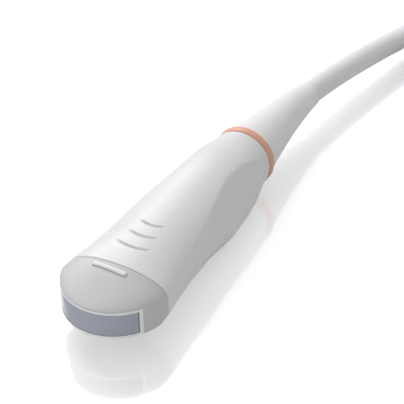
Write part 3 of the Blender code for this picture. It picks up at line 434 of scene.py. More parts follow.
def swept(bm, stations, sides):
    """A skin through circles, each a matrix that places and sizes a unit circle."""
    made = bmesh.ops.create_circle(bm, segments=sides, radius=1.0, matrix=stations[0])
    edges = list({edge for vert in made["verts"] for edge in vert.link_edges})
    for before, after in zip(stations, stations[1:]):
        grown = bmesh.ops.extrude_edge_only(bm, edges=edges)["geom"]
        verts = verts_of(grown)
        edges = edges_among(grown, verts)
        bmesh.ops.transform(bm, matrix=after @ before.inverted(), verts=verts)
    bmesh.ops.holes_fill(bm, edges=bm.edges, sides=0)


def hoop(centre, heading, radius):
    """The matrix of a circle round a point, square to a heading."""
    turn = heading.to_track_quat("Z", "Y").to_matrix().to_4x4()
    return Matrix.Translation(centre) @ turn @ Matrix.Diagonal((radius, radius, 1.0, 1.0))


def turned(bm, points, centre, axis, steps, angle=math.tau, closed=True):
    """The skin that a line of points leaves when it is turned about an axis."""
    verts = [bm.verts.new(point) for point in points]
    nexts = verts[1:] + verts[:1] if closed else verts[1:]
    edges = [bm.edges.new(pair) for pair in zip(verts, nexts)]
    bmesh.ops.spin(
        bm, geom=verts + edges, cent=centre, axis=axis, dvec=(0, 0, 0), angle=angle,
        steps=steps, use_merge=angle == math.tau,
    )


def rounded(bm, offset, degrees=60, segments=2):
    """Rounds the edges at which the surface turns by more than an angle."""
    limit = math.radians(degrees)
    edges = [edge for edge in bm.edges if edge.is_manifold and edge.calc_face_angle() > limit]
    bmesh.ops.bevel(
        bm, geom=edges, offset=offset, offset_type="OFFSET", segments=segments, profile=0.5,
        affect="EDGES", material=-1, clamp_overlap=True,
    )


def faces_of(geometry):
    return [item for item in geometry if isinstance(item, bmesh.types.BMFace)]


def verts_of(geometry):
    return [item for item in geometry if isinstance(item, bmesh.types.BMVert)]


def edges_among(geometry, verts):
    """The edges of some geometry whose two ends are both among the given vertices."""
    edges = [item for item in geometry if isinstance(item, bmesh.types.BMEdge)]
    return [edge for edge in edges if edge.verts[0] in verts and edge.verts[1] in verts]


# Nodes of the finishes


def add_node(tree, kind, x, y, **settings):
    made = tree.nodes.new(kind)
    made.location = (x, y)
    for name, value in settings.items():
        setattr(made, name, value)
    return made


def set_inputs(node, **values):
    for name, value in values.items():
        node.inputs[name.replace("_", " ")].default_value = value


def wire(tree, giver, output, taker, socket):
    tree.links.new(giver.outputs[output], taker.inputs[socket])


def group_tree(name, colours, values, outputs):
    """A node group with inputs for colours and values, and with outputs of the kinds given."""
    tree = bpy.data.node_groups.new(name, "ShaderNodeTree")
    for socket in colours:
        tree.interface.new_socket(socket, in_out="INPUT", socket_type="NodeSocketColor")
    for socket, default in values.items():
        made = tree.interface.new_socket(socket, in_out="INPUT", socket_type="NodeSocketFloat")
        made.default_value = default
    for socket, kind in outputs.items():
        tree.interface.new_socket(socket, in_out="OUTPUT", socket_type=f"NodeSocket{kind}")
    start = add_node(tree, "NodeGroupInput", -800, 0)
    end = add_node(tree, "NodeGroupOutput", 600, 0)
    return tree, start, end


def object_noise(tree, start, detail):
    """A noise on Object coordinates whose scale is a group input."""
    where = add_node(tree, "ShaderNodeTexCoord", -600, 0)
    noise = add_node(tree, "ShaderNodeTexNoise", -400, 0)
    set_inputs(noise, Detail=detail, Roughness=0.55)
    wire(tree, where, "Object", noise, "Vector")
    wire(tree, start, "Scale", noise, "Scale")
    return noise


def tone_group(name):
    """Slow changes between two tones, as in moulded plastic and handled surfaces."""
    tree, start, end = group_tree(
        name, colours=("Light Tone", "Dark Tone"), values={"Scale": 60.0},
        outputs={"Color": "Color", "Mask": "Float"},
    )
    noise = object_noise(tree, start, detail=3.0)
    ramp = add_node(tree, "ShaderNodeMapRange", -180, 0)
    set_inputs(ramp, From_Min=0.35, From_Max=0.65)
    mix = add_node(tree, "ShaderNodeMix", 200, 0, data_type="RGBA")
    wire(tree, noise, "Fac", ramp, "Value")
    wire(tree, ramp, "Result", mix, "Factor")
    wire(tree, start, "Light Tone", mix, "A")
    wire(tree, start, "Dark Tone", mix, "B")
    wire(tree, mix, "Result", end, "Color")
    wire(tree, ramp, "Result", end, "Mask")
    return tree


def grain_group(name):
    """The fine grain of a moulded surface, as a height and a spread of roughness."""
    tree, start, end = group_tree(
        name, colours=(), values={"Scale": 2500.0, "Smooth": 0.3, "Rough": 0.4},
        outputs={"Height": "Float", "Roughness": "Float"},
    )
    noise = object_noise(tree, start, detail=2.0)
    ramp = add_node(tree, "ShaderNodeMapRange", 200, -150)
    wire(tree, noise, "Fac", ramp, "Value")
    wire(tree, start, "Smooth", ramp, "To Min")
    wire(tree, start, "Rough", ramp, "To Max")
    wire(tree, noise, "Fac", end, "Height")
    wire(tree, ramp, "Result", end, "Roughness")
    return tree


def pile_group(name):
    """The short loops of a strap's pile, highest on their tops, with painted shade between them.
    """
    tree, start, end = group_tree(
        name, colours=(), values={"Scale": 900.0},
        outputs={"Height": "Float", "Mask": "Float"},
    )
    where = add_node(tree, "ShaderNodeTexCoord", -600, 0)
    loops = add_node(tree, "ShaderNodeTexVoronoi", -400, 0)
    ramp = add_node(tree, "ShaderNodeMapRange", -100, 0)
    set_inputs(ramp, From_Max=0.8, To_Min=1.0, To_Max=0.0)
    wire(tree, where, "Object", loops, "Vector")
    wire(tree, start, "Scale", loops, "Scale")
    wire(tree, loops, "Distance", ramp, "Value")
    for output in ("Height", "Mask"):
        wire(tree, ramp, "Result", end, output)
    return tree


def place_group(tree, name, x, y):
    """A node with one of the three groups, which is built at its first use."""
    builders = {"Slow Tone": tone_group, "Moulded Grain": grain_group, "Loop Pile": pile_group}
    group = bpy.data.node_groups.get(name) or builders[name](name)
    return add_node(tree, "ShaderNodeGroup", x, y, node_tree=group)


def shade(tone, share):
    return (*(channel * share for channel in tone), 1.0)


def finish(name, tone, roughness, metallic=0.0, grain=2500.0, relief=0.02 * MM, contrast=0.95,
           pile=0.0):
    """A Principled finish with slow tones, and a bump from a fine grain or from loops of pile."""
    made = bpy.data.materials.get(name)
    if made:
        return made
    made = bpy.data.materials.new(name)
    made.use_nodes = True
    made.diffuse_color = (*tone, 1.0)
    tree = made.node_tree
    shader = tree.nodes["Principled BSDF"]
    shader.location = (300, 0)
    set_inputs(shader, Metallic=metallic)
    tones = place_group(tree, "Slow Tone", -200, 200)
    set_inputs(tones, Light_Tone=shade(tone, 1.0), Dark_Tone=shade(tone, contrast))
    grains = place_group(tree, "Moulded Grain", -200, -100)
    smooth, rough = roughness - ROUGHNESS_SPREAD, roughness + ROUGHNESS_SPREAD
    set_inputs(grains, Scale=grain, Smooth=smooth, Rough=rough)
    bump = add_node(tree, "ShaderNodeBump", 60, -200)
    set_inputs(bump, Strength=1.0, Distance=relief)
    surface, height = tones.outputs["Color"], grains.outputs["Height"]
    if pile:
        loops = place_group(tree, "Loop Pile", -200, -350)
        set_inputs(loops, Scale=pile)
        # Painted shade: the gaps between the pile's loops take a darkened tone
        painted_gap_shade = add_node(tree, "ShaderNodeMix", 60, 200, data_type="RGBA")
        painted_gap_shade.inputs["A"].default_value = shade(tone, GAP_SHADE)
        wire(tree, loops, "Mask", painted_gap_shade, "Factor")
        tree.links.new(surface, painted_gap_shade.inputs["B"])
        surface, height = painted_gap_shade.outputs["Result"], loops.outputs["Height"]
        set_inputs(shader, Sheen_Weight=0.35, Sheen_Roughness=0.4)
    tree.links.new(surface, shader.inputs["Base Color"])
    wire(tree, grains, "Roughness", shader, "Roughness")
    tree.links.new(height, bump.inputs["Height"])
    wire(tree, bump, "Normal", shader, "Normal")
    return made


def sizes():
    return bpy.context.scene.probe_sizes


def look(kind):
    """The finish of that kind in the table, in the panel's colour where it names no tone."""
    name, tone, roughness, more = LOOKS[kind]
    tone = tone or getattr(bpy.context.scene.probe_colours, kind)
    return finish(name, tone, roughness, **more)


# Probe


def section_point(at, share, side):
    """A point of the handle's half section: share 0 at its +Y seam, 1 at its -Y seam."""
    way = 1 if share < 0.5 else -1
    part = 2 * share if share < 0.5 else 2 * (1 - share)
    wide, high = half_width(at), half_height(at)
    upright, crease = upright_side(at), crease_height(at)
    power = 2 / section_power(at)
    crease_turn = math.asin(((crease - upright) / (high - upright)) ** (1 / power))
    side_share = crease / (crease + wide)
    if part < side_share:
        rise = part / side_share
        middle = wide - outline(SCOOP_DEPTHS, at)
        crease_y = wide * math.cos(crease_turn) ** power
        y = middle + (crease_y - middle) * rise**SCOOP_POWER
        z = SEAM / 2 + (crease - SEAM / 2) * rise
    else:
        over = (part - side_share) / (1 - side_share)
        turn = crease_turn + (math.pi / 2 - crease_turn) * over
        y = wide * max(0.0, math.cos(turn)) ** power
        z = upright + (high - upright) * math.sin(turn) ** power
    if side < 0:
        y += (belly_width(at, z) - y) * profile(BELLY_SHARES, at / MM)
    inset = edge_inset(at)
    y *= way * (1 - inset / wide)
    z *= 1 - inset / high
    return place(at, y, side * z)


def belly_width(at, up):
    """Half width of the fuller, unscooped underside at a height from the axis."""
    drop = min(1.0, up / half_height(at))
    full = half_width(at) * (1 - drop**BELLY_POWER) ** (1 / BELLY_POWER)
    below = min(1.0, up / crease_height(at))
    return full - outline(SCOOP_DEPTHS, at) * (1 - below**2 * (3 - 2 * below))


def edge_inset(at):
    """How far the shell's surface draws in over the small roundings at its two ends."""
    near_end = min(at - SHELL_START, SHELL_END - at)
    if near_end >= SHELL_EDGE:
        return 0.0
    return SHELL_EDGE * (1 - math.sqrt(1 - (1 - max(0.0, near_end) / SHELL_EDGE) ** 2))


def groove_depth(at, across):
    """Depth of the grip grooves at a place on the upper shell."""
    size = sizes()
    for number, span in enumerate(GROOVE_LENGTHS):
        reach = min(1.0, 2 * abs(across) / span)
        middle = FIRST_GROOVE_AT + GROOVE_SPACING * number + GROOVE_BOW * reach**2
        taper = 1 - reach**3
        width = size.groove_width * (GROOVE_END_SHARE + (1 - GROOVE_END_SHARE) * taper)
        away = abs(at - middle) / (width / 2)
        if reach < 1 and away < 1:
            return size.groove_depth * (1 - away**2) * taper
    return 0.0


def shell_half(name, node, side, grid, rows, rounds, grooved):
    """Half of the handle: a sheet over its sections, smoothed, grooved and given a wall."""
    bm = bmesh.new()
    verts = laid_grid(bm, *grid, lambda u, v: section_point(spread(rows, u), v, side))
    inner = [vert for vert in verts if not vert.is_boundary]
    inner = [vert for vert in inner if vert.co.x - APEX_X > SHELL_START + UNSMOOTHED]
    for _ in range(rounds):
        bmesh.ops.smooth_vert(
            bm, verts=inner, factor=0.5, use_axis_x=True, use_axis_y=True, use_axis_z=True
        )
    if grooved:
        for vert in inner:
            vert.co.z -= groove_depth(vert.co.x - APEX_X, vert.co.y)
    bmesh.ops.recalc_face_normals(bm, faces=bm.faces)
    outwards = sum(face.normal.z for face in bm.faces) * side > 0
    bmesh.ops.solidify(bm, geom=bm.faces[:], thickness=SHELL_WALL if outwards else -SHELL_WALL)
    finished(name, bm, "housing", (node,))


class PROBE_OT_shells(Operator):
    """Models the two halves of the handle"""

    bl_idname = "probe.shells"
    bl_label = "Handle Shells"

    def execute(self, context):
        shell_half("handle_top", "upper_shell", 1, TOP_GRID, TOP_ROWS, rounds=5, grooved=True)
        shell_half(
            "handle_bottom", "lower_shell", -1, BOTTOM_GRID, BOTTOM_ROWS, rounds=10, grooved=False
        )
        return {"FINISHED"}


def head_reach(swing):
    """Distance from the head's centre to the nose's outline, at an angle from dead ahead."""
    if abs(swing) <= math.radians(LENS_HALF_ANGLE):
        return LENS_RADIUS
    low, high = LENS_RADIUS * 0.9, LENS_RADIUS * 1.3
    for _ in range(40):
        middle = (low + high) / 2
        outside = middle * math.sin(abs(swing)) > half_width(
            LENS_RADIUS - middle * math.cos(swing)
        )
        low, high = (low, middle) if outside else (middle, high)
    return low


def shape_nose(bm):
    """Moves the turned profile to the nose's outline and heights."""
    reaches = {}
    for vert in bm.verts:
        ahead = APEX_X + LENS_RADIUS - vert.co.x
        swing = math.atan2(vert.co.y, ahead)
        share = math.hypot(ahead, vert.co.y) / LENS_RADIUS
        key = round(swing, 5)
        if key not in reaches:
            reaches[key] = head_reach(swing)
        at = LENS_RADIUS - share * reaches[key] * math.cos(swing)
        across = share * reaches[key] * math.sin(swing)
        upright = upright_side(at)
        up = vert.co.z
        # The broad faces are turned at heights 1 and -1, and the wall between them
        if abs(up) > 0.999:
            rise = face_height(at, across) - upright
            # The edge above and below the lens is rounded, less and less towards the back
            ahead_share = min(1.0, max(0.0, math.cos(swing) * 2))
            edge = (1 - min(1.0, share) ** NOSE_EDGE_POWER) ** (1 / NOSE_EDGE_POWER)
            rise *= 1 - ahead_share * (1 - edge)
            z = math.copysign(upright + rise, up)
        else:
            z = up * upright
        vert.co = place(at, across, z)


def spot(vert):
    """A vertex's place as a key, which it shares with the vertex that it was drawn from."""
    return tuple(round(value, 8) for value in vert.co)


def extrude_to_joint(bm):
    """Carries the open back of the head to the joint, and rounds its edge inwards."""
    start = LENS_RADIUS
    edges = [edge for edge in bm.edges if edge.is_boundary]
    rim = {vert for edge in edges for vert in edge.verts}
    base = {vert: (vert.co.y, vert.co.z - AXIS_Z) for vert in rim}
    high, upright, wide = half_height(start), upright_side(start), half_width(start)
    for at_mm, inset_mm in JOINT_EDGE:
        at, inset = at_mm * MM, inset_mm * MM
        near = {spot(vert): value for vert, value in base.items()}
        grown = bmesh.ops.extrude_edge_only(bm, edges=edges)["geom"]
        base = {}
        for vert in verts_of(grown):
            y, z = near[spot(vert)]
            base[vert] = (y, z)
            if abs(z) > upright:
                rise = (abs(z) - upright) / (high - upright)
                z = math.copysign(
                    upright_side(at) + (half_height(at) - upright_side(at)) * rise, z
                )
            else:
                z *= upright_side(at) / upright
            z *= 1 - inset / half_height(at)
            y = y * half_width(at) / wide * (1 - inset / half_width(at))
            vert.co = place(at, y, z)
        edges = edges_among(grown, base)
    bmesh.ops.contextual_create(bm, geom=edges)


def drawn_out(bm, faces):
    """Draws a patch of faces out of its skin, with walls round it, and returns its new mesh."""
    made = bmesh.ops.extrude_face_region(bm, geom=faces)["geom"]
    bmesh.ops.delete(bm, geom=faces, context="FACES")
    return made


def wall_faces(faces, half_angle, half_height):
    """The faces of the head's upright wall within an angle from dead ahead and a height."""
    found = []
    for face in faces:
        middle = face.calc_center_median() - place(LENS_RADIUS, 0.0, 0.0)
        swing = math.atan2(abs(middle.y), -middle.x)
        on_wall = middle.xy.length > WALL_SHARE * head_reach(swing)
        if on_wall and math.degrees(swing) < half_angle and abs(middle.z) <= half_height:
            found.append(face)
    return found


def move_about_head(verts, outwards):
    """Moves vertices away from the head's upright middle line."""
    centre = place(LENS_RADIUS, 0.0, 0.0)
    for vert in verts:
        away = (vert.co - centre) * Vector((1, 1, 0))
        vert.co += away.normalized() * outwards


def orientation_bar(bm):
    """The low round-ended bar across the nose."""
    size = sizes()
    steps = 36
    stations = []
    skin = set(bm.faces)
    for i in range(steps + 1):
        share = math.sin(math.pi * (i / steps - 0.5))
        y = BAR_ACROSS + share * size.bar_length / 2
        at = BAR_AT + BAR_SLANT * share
        up = face_height(at, y) + size.bar_height - size.bar_radius
        past = max(0.0, (abs(share) - (1 - BAR_END_SHARE)) / BAR_END_SHARE)
        ends = max(0.05, 1 - past**2) ** 0.5
        stations.append(hoop(place(at, y, up), Y, size.bar_radius * ends))
    swept(bm, stations, sides=20)
    # Upward faces of the bar take the white as painted highlight, steeper faces grey painted
    # shade
    for face in set(bm.faces) - skin:
        face.normal_update()
        face.material_index = 1 if face.normal.z > BAR_PAINTED_HIGHLIGHT_UPRIGHT else 2


class PROBE_OT_nose(Operator):
    """Models the nose with its lens window, rim and orientation bar"""

    bl_idname = "probe.nose"
    bl_label = "Nose"

    def execute(self, context):
        window_half = LENS_HALF_HEIGHT + LENS_GAP
        window_share = window_half / upright_side(0.0)
        levels = (window_share, window_share / 2, 0.0, -window_share / 2, -window_share)
        bm = bmesh.new()
        centre = place(LENS_RADIUS, 0.0, -AXIS_Z)
        chain = [(share, 1.0) for share in NOSE_RINGS] + [(1.0, level) for level in levels]
        chain += [(share, -1.0) for share in reversed(NOSE_RINGS)]
        points = [centre + Vector((0, -share * LENS_RADIUS, up)) for share, up in chain]
        turned(bm, points, centre, Z, steps=180, angle=-math.pi, closed=False)
        shape_nose(bm)
        bmesh.ops.remove_doubles(bm, verts=bm.verts, dist=MM / 1000)
        self.open_window(bm, window_half)
        extrude_to_joint(bm)
        orientation_bar(bm)
        nose = finished("nose", bm, "nose", ("nose_cap",), sharp=50)
        # The rim's white, also the bar's painted highlight, then the bar's grey painted shade
        nose.data.materials.append(look("trim"))
        nose.data.materials.append(look("bar_edge"))
        return {"FINISHED"}

    def open_window(self, bm, window_half):
        """A raised rim round the window, and the pocket that the lens sits in."""
        size = sizes()
        rim_angle = LENS_HALF_ANGLE + math.degrees(size.rim_width / LENS_RADIUS)
        grown = drawn_out(bm, wall_faces(bm.faces, rim_angle, upright_side(0.0)))
        move_about_head(verts_of(grown), size.rim_proud)
        window = wall_faces(faces_of(grown), LENS_HALF_ANGLE, window_half)
        for face in set(faces_of(grown)) - set(window):
            face.material_index = 1
        pocket = drawn_out(bm, window)
        move_about_head(verts_of(pocket), -POCKET_DEPTH)


class PROBE_OT_lens(Operator):
    """Models the acoustic lens"""

    bl_idname = "probe.lens"
    bl_label = "Lens"

    def execute(self, context):
        half = LENS_HALF_HEIGHT
        outer, inner = LENS_RADIUS - LENS_GAP, LENS_RADIUS - LENS_THICKNESS
        centre = place(LENS_RADIUS, 0.0, 0.0)
        swing = math.radians(LENS_HALF_ANGLE - LENS_END_GAP)
        start = Vector((-math.cos(swing), -math.sin(swing), 0.0))
        corners = ((outer, half), (outer, -half), (inner, -half), (inner, half))
        bm = bmesh.new()
        points = [centre + start * reach + Z * up for reach, up in corners]
        turned(bm, points, centre, Z, steps=112, angle=-2 * swing)
        bmesh.ops.holes_fill(bm, edges=bm.edges, sides=0)
        rounded(bm, LENS_EDGE, segments=3)
        finished("acoustic_lens", bm, "lens", ("lens",))
        return {"FINISHED"}


class PROBE_OT_ring(Operator):
    """Models the coloured ring"""

    bl_idname = "probe.ring"
    bl_label = "Coloured Ring"

    def execute(self, context):
        chamfer = sizes().ring_chamfer
        arc_steps = 5
        turns = [math.pi / 2 * i / arc_steps for i in range(arc_steps + 1)]
        arc = [(chamfer * (1 - math.cos(turn)), chamfer * (1 - math.sin(turn))) for turn in turns]
        points = [(RING_START, RING_RADIUS - RING_DEPTH)]
        points += [(RING_START + along, RING_RADIUS - down) for along, down in arc]
        points += [(RING_END - along, RING_RADIUS - down) for down, along in arc]
        points += [(RING_END, RING_RADIUS - RING_DEPTH)]
        points = [place(at, 0.0, up) for at, up in points]
        bm = bmesh.new()
        turned(bm, points, place(0, 0, 0), X, steps=128)
        finished("salmon_ring", bm, "ring", ("colour_ring",))
        return {"FINISHED"}


def route_point(route, at):
    """A point of a lead's middle line, at a distance behind the lens apex."""
    y = profile([(p[0], p[1]) for p in route], at)
    z = profile([(p[0], p[2]) for p in route], at)
    return Vector((APEX_X + at, y, z))


def route_heading(route, at):
    step = 0.2 * MM
    return (route_point(route, at + step) - route_point(route, at - step)).normalized()


def sleeve(name, node, route, stations, sides):
    """A strain relief: a skin through (place, radius) stations along a lead's middle line."""
    bm = bmesh.new()
    hoops = [
        hoop(route_point(route, at), route_heading(route, at), radius) for at, radius in stations
    ]
    swept(bm, hoops, sides)
    finished(name, bm, "relief", (node,))


class PROBE_OT_strain_relief(Operator):
    """Models the tapered strain relief"""

    bl_idname = "probe.strain_relief"
    bl_label = "Strain Relief"

    def execute(self, context):
        size = sizes()
        start, radius = RELIEF_START, outline(RELIEF_TAPER, RELIEF_START)
        stations = [(start - SPIGOT_LENGTH, radius - SPIGOT_STEP), (start, radius - SPIGOT_STEP)]
        stations += [(start, radius - RELIEF_EDGE_STEP)]
        steps = 80
        for i in range(steps + 1):
            at = start + RELIEF_EDGE + (RELIEF_END - start - RELIEF_EDGE) * i / steps
            stations.append((at, outline(RELIEF_TAPER, at)))
        end_radius = stations[-1][1]
        mouth = size.lead_diameter / 2 + MOUTH_GAP
        stations[-1:] = [
            (RELIEF_END + along * MM, end_radius - down * MM) for along, down in RELIEF_REAR_EDGE
        ]
        stations += [(RELIEF_END, mouth), (RELIEF_END - size.mouth_depth, mouth)]
        sleeve("relief_sleeve", "strain_relief", LEAD_ROUTE, stations, sides=96)
        return {"FINISHED"}


# Lead


def coil_state(turned_by):
    """Radius and height of the winding after so many degrees."""
    lead = sizes().lead_diameter
    middle = (COIL_BOX[1].x - COIL_BOX[0].x) / 2 - lead
    low = COIL_BOX[0].z + lead / 2
    radius, height = middle + lead / 2, low
    for start, column, layer in COIL_STATIONS:
        t = min(1.0, max(0.0, (turned_by - start) / COIL_CHANGE))
        ease = t * t * (3 - 2 * t)
        to_radius = middle + (lead / 2 if column == "outer" else -lead / 2)
        radius += (to_radius - radius) * ease
        height += (low + layer * lead - height) * ease
    return radius, height


def lead_path():
    """The lead's middle line from the strain relief through the coil to the connector."""
    size = sizes()
    coil_x = (COIL_BOX[0].x + COIL_BOX[1].x) / 2
    coil_y = (COIL_BOX[0].y + COIL_BOX[1].y) / 2
    start, end = RELIEF_END - size.mouth_depth + LEAD_END_GAP, LEAD_ROUTE[-1][0]
    steps = 36
    points = [route_point(LEAD_ROUTE, start + (end - start) * i / steps) for i in range(steps)]
    winding_step = 5
    for turned_by in range(0, COIL_EXIT + 1, winding_step):
        radius, height = coil_state(turned_by)
        turn = math.radians(COIL_ENTRY - turned_by)
        points.append(Vector((
            coil_x + radius * math.cos(turn), coil_y + radius * math.sin(turn), height
        )))
    start, end = TAIL_ROUTE[-1][0], CORD_RELIEF_END - size.mouth_depth + LEAD_END_GAP
    steps = 14
    for i in range(1, steps + 1):
        points.append(route_point(TAIL_ROUTE, start + (end - start) * i / steps))
    return points


class PROBE_OT_lead(Operator):
    """Models the screened lead, wound up for storage"""

    bl_idname = "probe.lead"
    bl_label = "Screened Lead"

    def execute(self, context):
        size = sizes()
        points = lead_path()
        curve = bpy.data.curves.new("screened_lead", "CURVE")
        curve.dimensions = "3D"
        curve.bevel_depth = size.lead_diameter / 2
        curve.bevel_resolution = 7
        curve.use_fill_caps = True
        spline = curve.splines.new("POLY")
        spline.points.add(len(points) - 1)
        spline.use_smooth = True
        for knot, point in zip(spline.points, points):
            knot.co = (*point, 1.0)
        curve.materials.append(look("lead"))
        lead = bpy.data.objects.new("screened_lead", curve)
        context.scene.collection.objects.link(lead)
        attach(lead, BODY)
        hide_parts("cable_lead", "cable_coil", "cable_tail")
        return {"FINISHED"}


def refined(name, nodes, kind, edge, degrees=40):
    """A piece from copies of CAD nodes, with flat faces made whole and edges rounded."""
    bm = bmesh.new()
    for node in nodes:
        bm.from_mesh(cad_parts[node].data)
    bmesh.ops.remove_doubles(bm, verts=bm.verts, dist=MM / 500)
    bmesh.ops.dissolve_limit(
        bm, angle_limit=math.radians(1.0), verts=bm.verts, edges=bm.edges,
        use_dissolve_boundaries=False,
    )
    rounded(bm, edge, degrees)
    finished(name, bm, kind, nodes)


class PROBE_OT_ties(Operator):
    """Dresses the straps round the coil"""

    bl_idname = "probe.ties"
    bl_label = "Coil Ties"

    def execute(self, context):
        for number in (1, 2):
            ties = (f"coil_tie_{number}",)
            refined(f"strap_{number}", ties, "strap", STRAP_EDGE, degrees=60)
        return {"FINISHED"}


class PROBE_OT_connector(Operator):
    """Dresses the connector's case, relief, shroud, contacts and screws"""

    bl_idname = "probe.connector"
    bl_label = "Connector"

    def execute(self, context):
        edge = sizes().edge_break
        refined("plug_bottom", ("connector_lower",), "case", edge)
        refined("plug_top", ("connector_upper",), "case", edge)
        refined("plug_shroud", ("connector_shroud",), "steel", SHROUD_EDGE)
        refined("plug_sockets", ("contact_block",), "black", SOCKET_EDGE, degrees=60)
        self.cord_relief()
        screws = [f"connector_screw_{number}" for number in range(1, 5)]
        refined("plug_screws", screws, "steel", SCREW_EDGE, degrees=60)
        return {"FINISHED"}

    def cord_relief(self):
        """The connector's strain relief, with ribs, round the end of the lead."""
        size = sizes()
        low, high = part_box("connector_relief")
        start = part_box("connector_lower")[1].x - APEX_X + PLUG_RELIEF_GAP
        end = high.x - APEX_X
        neck = PLUG_RELIEF_RADII[0][1] - PLUG_NECK_STEP
        stations = [(low.x - APEX_X, neck), (start, neck)]
        steps = 30
        for i in range(steps + 1):
            share = i / steps
            between_ribs = 0.2 < share < 0.85 and i % 4 in (1, 2)
            radius = profile(PLUG_RELIEF_RADII, share) - (PLUG_RIB_DEPTH if between_ribs else 0.0)
            stations.append((start + (end - start) * share, radius))
        mouth = size.lead_diameter / 2 + MOUTH_GAP
        stations += [(end, mouth), (end - size.mouth_depth, mouth)]
        sleeve("plug_relief", "connector_relief", TAIL_ROUTE, stations, sides=64)


class PROBE_OT_inside(Operator):
    """Finishes the sealed pieces inside the probe and the connector"""

    bl_idname = "probe.inside"
    bl_label = "Inner Pieces"

    def execute(self, context):
        for name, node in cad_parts.items():
            kinds = [kind for kind in INNER_LOOKS if name.startswith(kind)]
            if kinds:
                node.data.materials.clear()
                node.data.materials.append(look(INNER_LOOKS[max(kinds, key=len)]))
        return {"FINISHED"}


# Stage


def bare_tree(owner):
    """The emptied node tree of a new material or world."""
    owner.use_nodes = True
    owner.node_tree.nodes.clear()
    return owner.node_tree


def floor_finish(settings):
    """A white polished top, lifted for the camera so that it is white round the shadow."""
    made = bpy.data.materials.new("White table top")
    tree = bare_tree(made)
    end = add_node(tree, "ShaderNodeOutputMaterial", 600, 0)
    matt = add_node(tree, "ShaderNodeBsdfDiffuse", -200, 100)
    set_inputs(matt, Color=(*settings.floor, 1.0))
    gloss = add_node(tree, "ShaderNodeBsdfGlossy", -200, -50)
    set_inputs(gloss, Color=WHITE, Roughness=settings.roughness)
    mix = add_node(tree, "ShaderNodeMixShader", 50, 50)
    set_inputs(mix, Fac=settings.gloss)
    lift = add_node(tree, "ShaderNodeEmission", 50, -150)
    light_path = add_node(tree, "ShaderNodeLightPath", -200, -250)
    strength = add_node(tree, "ShaderNodeMath", -50, -250, operation="MULTIPLY")
    strength.inputs[1].default_value = settings.lift
    add = add_node(tree, "ShaderNodeAddShader", 350, 0)
    wire(tree, matt, 0, mix, 1)
    wire(tree, gloss, 0, mix, 2)
    wire(tree, light_path, "Is Camera Ray", strength, 0)
    wire(tree, strength, 0, lift, "Strength")
    wire(tree, mix, 0, add, 0)
    wire(tree, lift, 0, add, 1)
    wire(tree, add, 0, end, "Surface")
    return made


def white_world(settings):
    """White to the camera and in reflections, and a plainer fill light for all else."""
    world = bpy.data.worlds.new("White room")
    bpy.context.scene.world = world
    tree = bare_tree(world)
    end = add_node(tree, "ShaderNodeOutputWorld", 500, 0)
    light_path = add_node(tree, "ShaderNodeLightPath", -500, 200)
    seen = add_node(tree, "ShaderNodeMath", -250, 250, operation="MAXIMUM")
    seen_too = add_node(tree, "ShaderNodeMath", -50, 200, operation="MAXIMUM")
    fill = add_node(tree, "ShaderNodeBackground", 0, 0)
    set_inputs(fill, Color=WHITE, Strength=settings.fill)
    white = add_node(tree, "ShaderNodeBackground", 0, -150)
    set_inputs(white, Color=WHITE)
    mix = add_node(tree, "ShaderNodeMixShader", 250, 0)
    wire(tree, light_path, "Is Camera Ray", seen, 0)
    wire(tree, light_path, "Is Glossy Ray", seen, 1)
    wire(tree, seen, 0, seen_too, 0)
    wire(tree, light_path, "Is Transmission Ray", seen_too, 1)
    wire(tree, seen_too, 0, mix, "Fac")
    wire(tree, fill, 0, mix, 1)
    wire(tree, white, 0, mix, 2)
    wire(tree, mix, 0, end, "Surface")


def add_lamp(name, direction, watts):
    """A soft square lamp that looks at the middle of the probe."""
    data = bpy.data.lights.new(name, "AREA")
    data.shape = "SQUARE"
    data.size = LAMP_SIZE
    data.energy = watts
    lamp = bpy.data.objects.new(name, data)
    away = Vector(direction).normalized()
    lamp.location = away * LAMP_DISTANCE
    lamp.rotation_euler = away.to_track_quat("Z", "Y").to_euler()
    bpy.context.scene.collection.objects.link(lamp)


def add_camera():
    """The photograph's camera, from its fitted direction, roll, distance and frame."""
    frame_pixels = 404
    focal_pixels = 1623.0
    axis_pixel_x, axis_pixel_y = 88.45, 353.86
    distance = 0.461
    azimuth, elevation, roll = (math.radians(angle) for angle in (-59.83, 36.08, -0.91))
    back = Vector((
        math.sin(azimuth) * math.cos(elevation),
        -math.cos(azimuth) * math.cos(elevation),
        math.sin(elevation),
    ))
    level = Vector((math.cos(azimuth), math.sin(azimuth), 0.0))
    upward = back.cross(level)
    right = level * math.cos(roll) + upward * math.sin(roll)
    top = upward * math.cos(roll) - level * math.sin(roll)
    data = bpy.data.cameras.new("Camera")
    data.sensor_width = 36.0
    data.lens = focal_pixels / frame_pixels * data.sensor_width
    data.clip_start, data.clip_end = 0.01, 20.0
    camera = bpy.data.objects.new("Camera", data)
    half = frame_pixels / 2
    target = Vector((APEX_X, 0.0, 0.0))
    camera.location = (
        target + back * distance
        - right * ((axis_pixel_x - half) / focal_pixels * distance)
        + top * ((axis_pixel_y - half) / focal_pixels * distance)
    )
    camera.rotation_euler = Matrix((right, top, back)).transposed().to_euler()
    bpy.context.scene.collection.objects.link(camera)
    bpy.context.scene.camera = camera


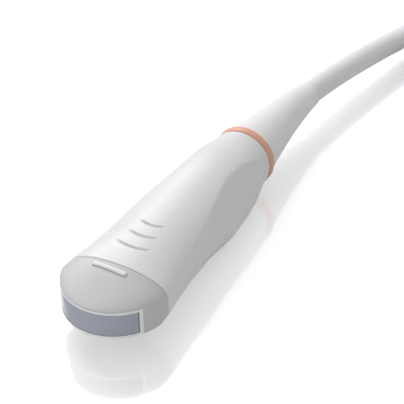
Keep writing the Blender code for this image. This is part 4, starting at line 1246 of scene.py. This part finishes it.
class PROBE_OT_stage(Operator):
    """Sets up the table top, the white room, the lamps and the camera"""

    bl_idname = "probe.stage"
    bl_label = "Stage"

    def execute(self, context):
        settings = context.scene.probe_stage
        bm = bmesh.new()
        bmesh.ops.create_grid(bm, x_segments=1, y_segments=1, size=FLOOR_REACH)
        mesh = bpy.data.meshes.new("table_top")
        bm.to_mesh(mesh)
        bm.free()
        mesh.materials.append(floor_finish(settings))
        floor = bpy.data.objects.new("table_top", mesh)
        context.scene.collection.objects.link(floor)
        white_world(settings)
        add_lamp("key lamp", KEY_DIRECTION, settings.key)
        add_lamp("side lamp", SIDE_DIRECTION, settings.side)
        add_camera()
        context.scene.view_settings.view_transform = "Standard"
        return {"FINISHED"}


class PROBE_PT_panel(Panel):
    """Sizes, colours and building steps of the probe"""

    bl_idname = "PROBE_PT_panel"
    bl_label = "Ultrasound Probe"
    bl_space_type = "VIEW_3D"
    bl_region_type = "UI"
    bl_category = "Probe"

    def draw(self, context):
        scene = context.scene
        for settings in (scene.probe_sizes, scene.probe_colours, scene.probe_stage):
            column = self.layout.column(align=True)
            for name in settings.__annotations__:
                column.prop(settings, name)
        for step in STEPS:
            self.layout.operator(step.bl_idname)


SETTINGS = (ProbeSizes, ProbeColours, StageSettings)
STEPS = (
    PROBE_OT_nose,
    PROBE_OT_lens,
    PROBE_OT_shells,
    PROBE_OT_ring,
    PROBE_OT_strain_relief,
    PROBE_OT_inside,
    PROBE_OT_lead,
    PROBE_OT_ties,
    PROBE_OT_connector,
    PROBE_OT_stage,
)


def register():
    for kind in (*SETTINGS, *STEPS, PROBE_PT_panel):
        bpy.utils.register_class(kind)
    bpy.types.Scene.probe_sizes = PointerProperty(type=ProbeSizes)
    bpy.types.Scene.probe_colours = PointerProperty(type=ProbeColours)
    bpy.types.Scene.probe_stage = PointerProperty(type=StageSettings)


def unregister():
    del bpy.types.Scene.probe_stage
    del bpy.types.Scene.probe_colours
    del bpy.types.Scene.probe_sizes
    for kind in reversed((*SETTINGS, *STEPS, PROBE_PT_panel)):
        bpy.utils.unregister_class(kind)


def main():
    register()
    bpy.ops.probe.nose()
    bpy.ops.probe.lens()
    bpy.ops.probe.shells()
    bpy.ops.probe.ring()
    bpy.ops.probe.strain_relief()
    bpy.ops.probe.inside()
    bpy.ops.probe.lead()
    bpy.ops.probe.ties()
    bpy.ops.probe.connector()
    bpy.ops.probe.stage()


if __name__ == "__main__":
    main()
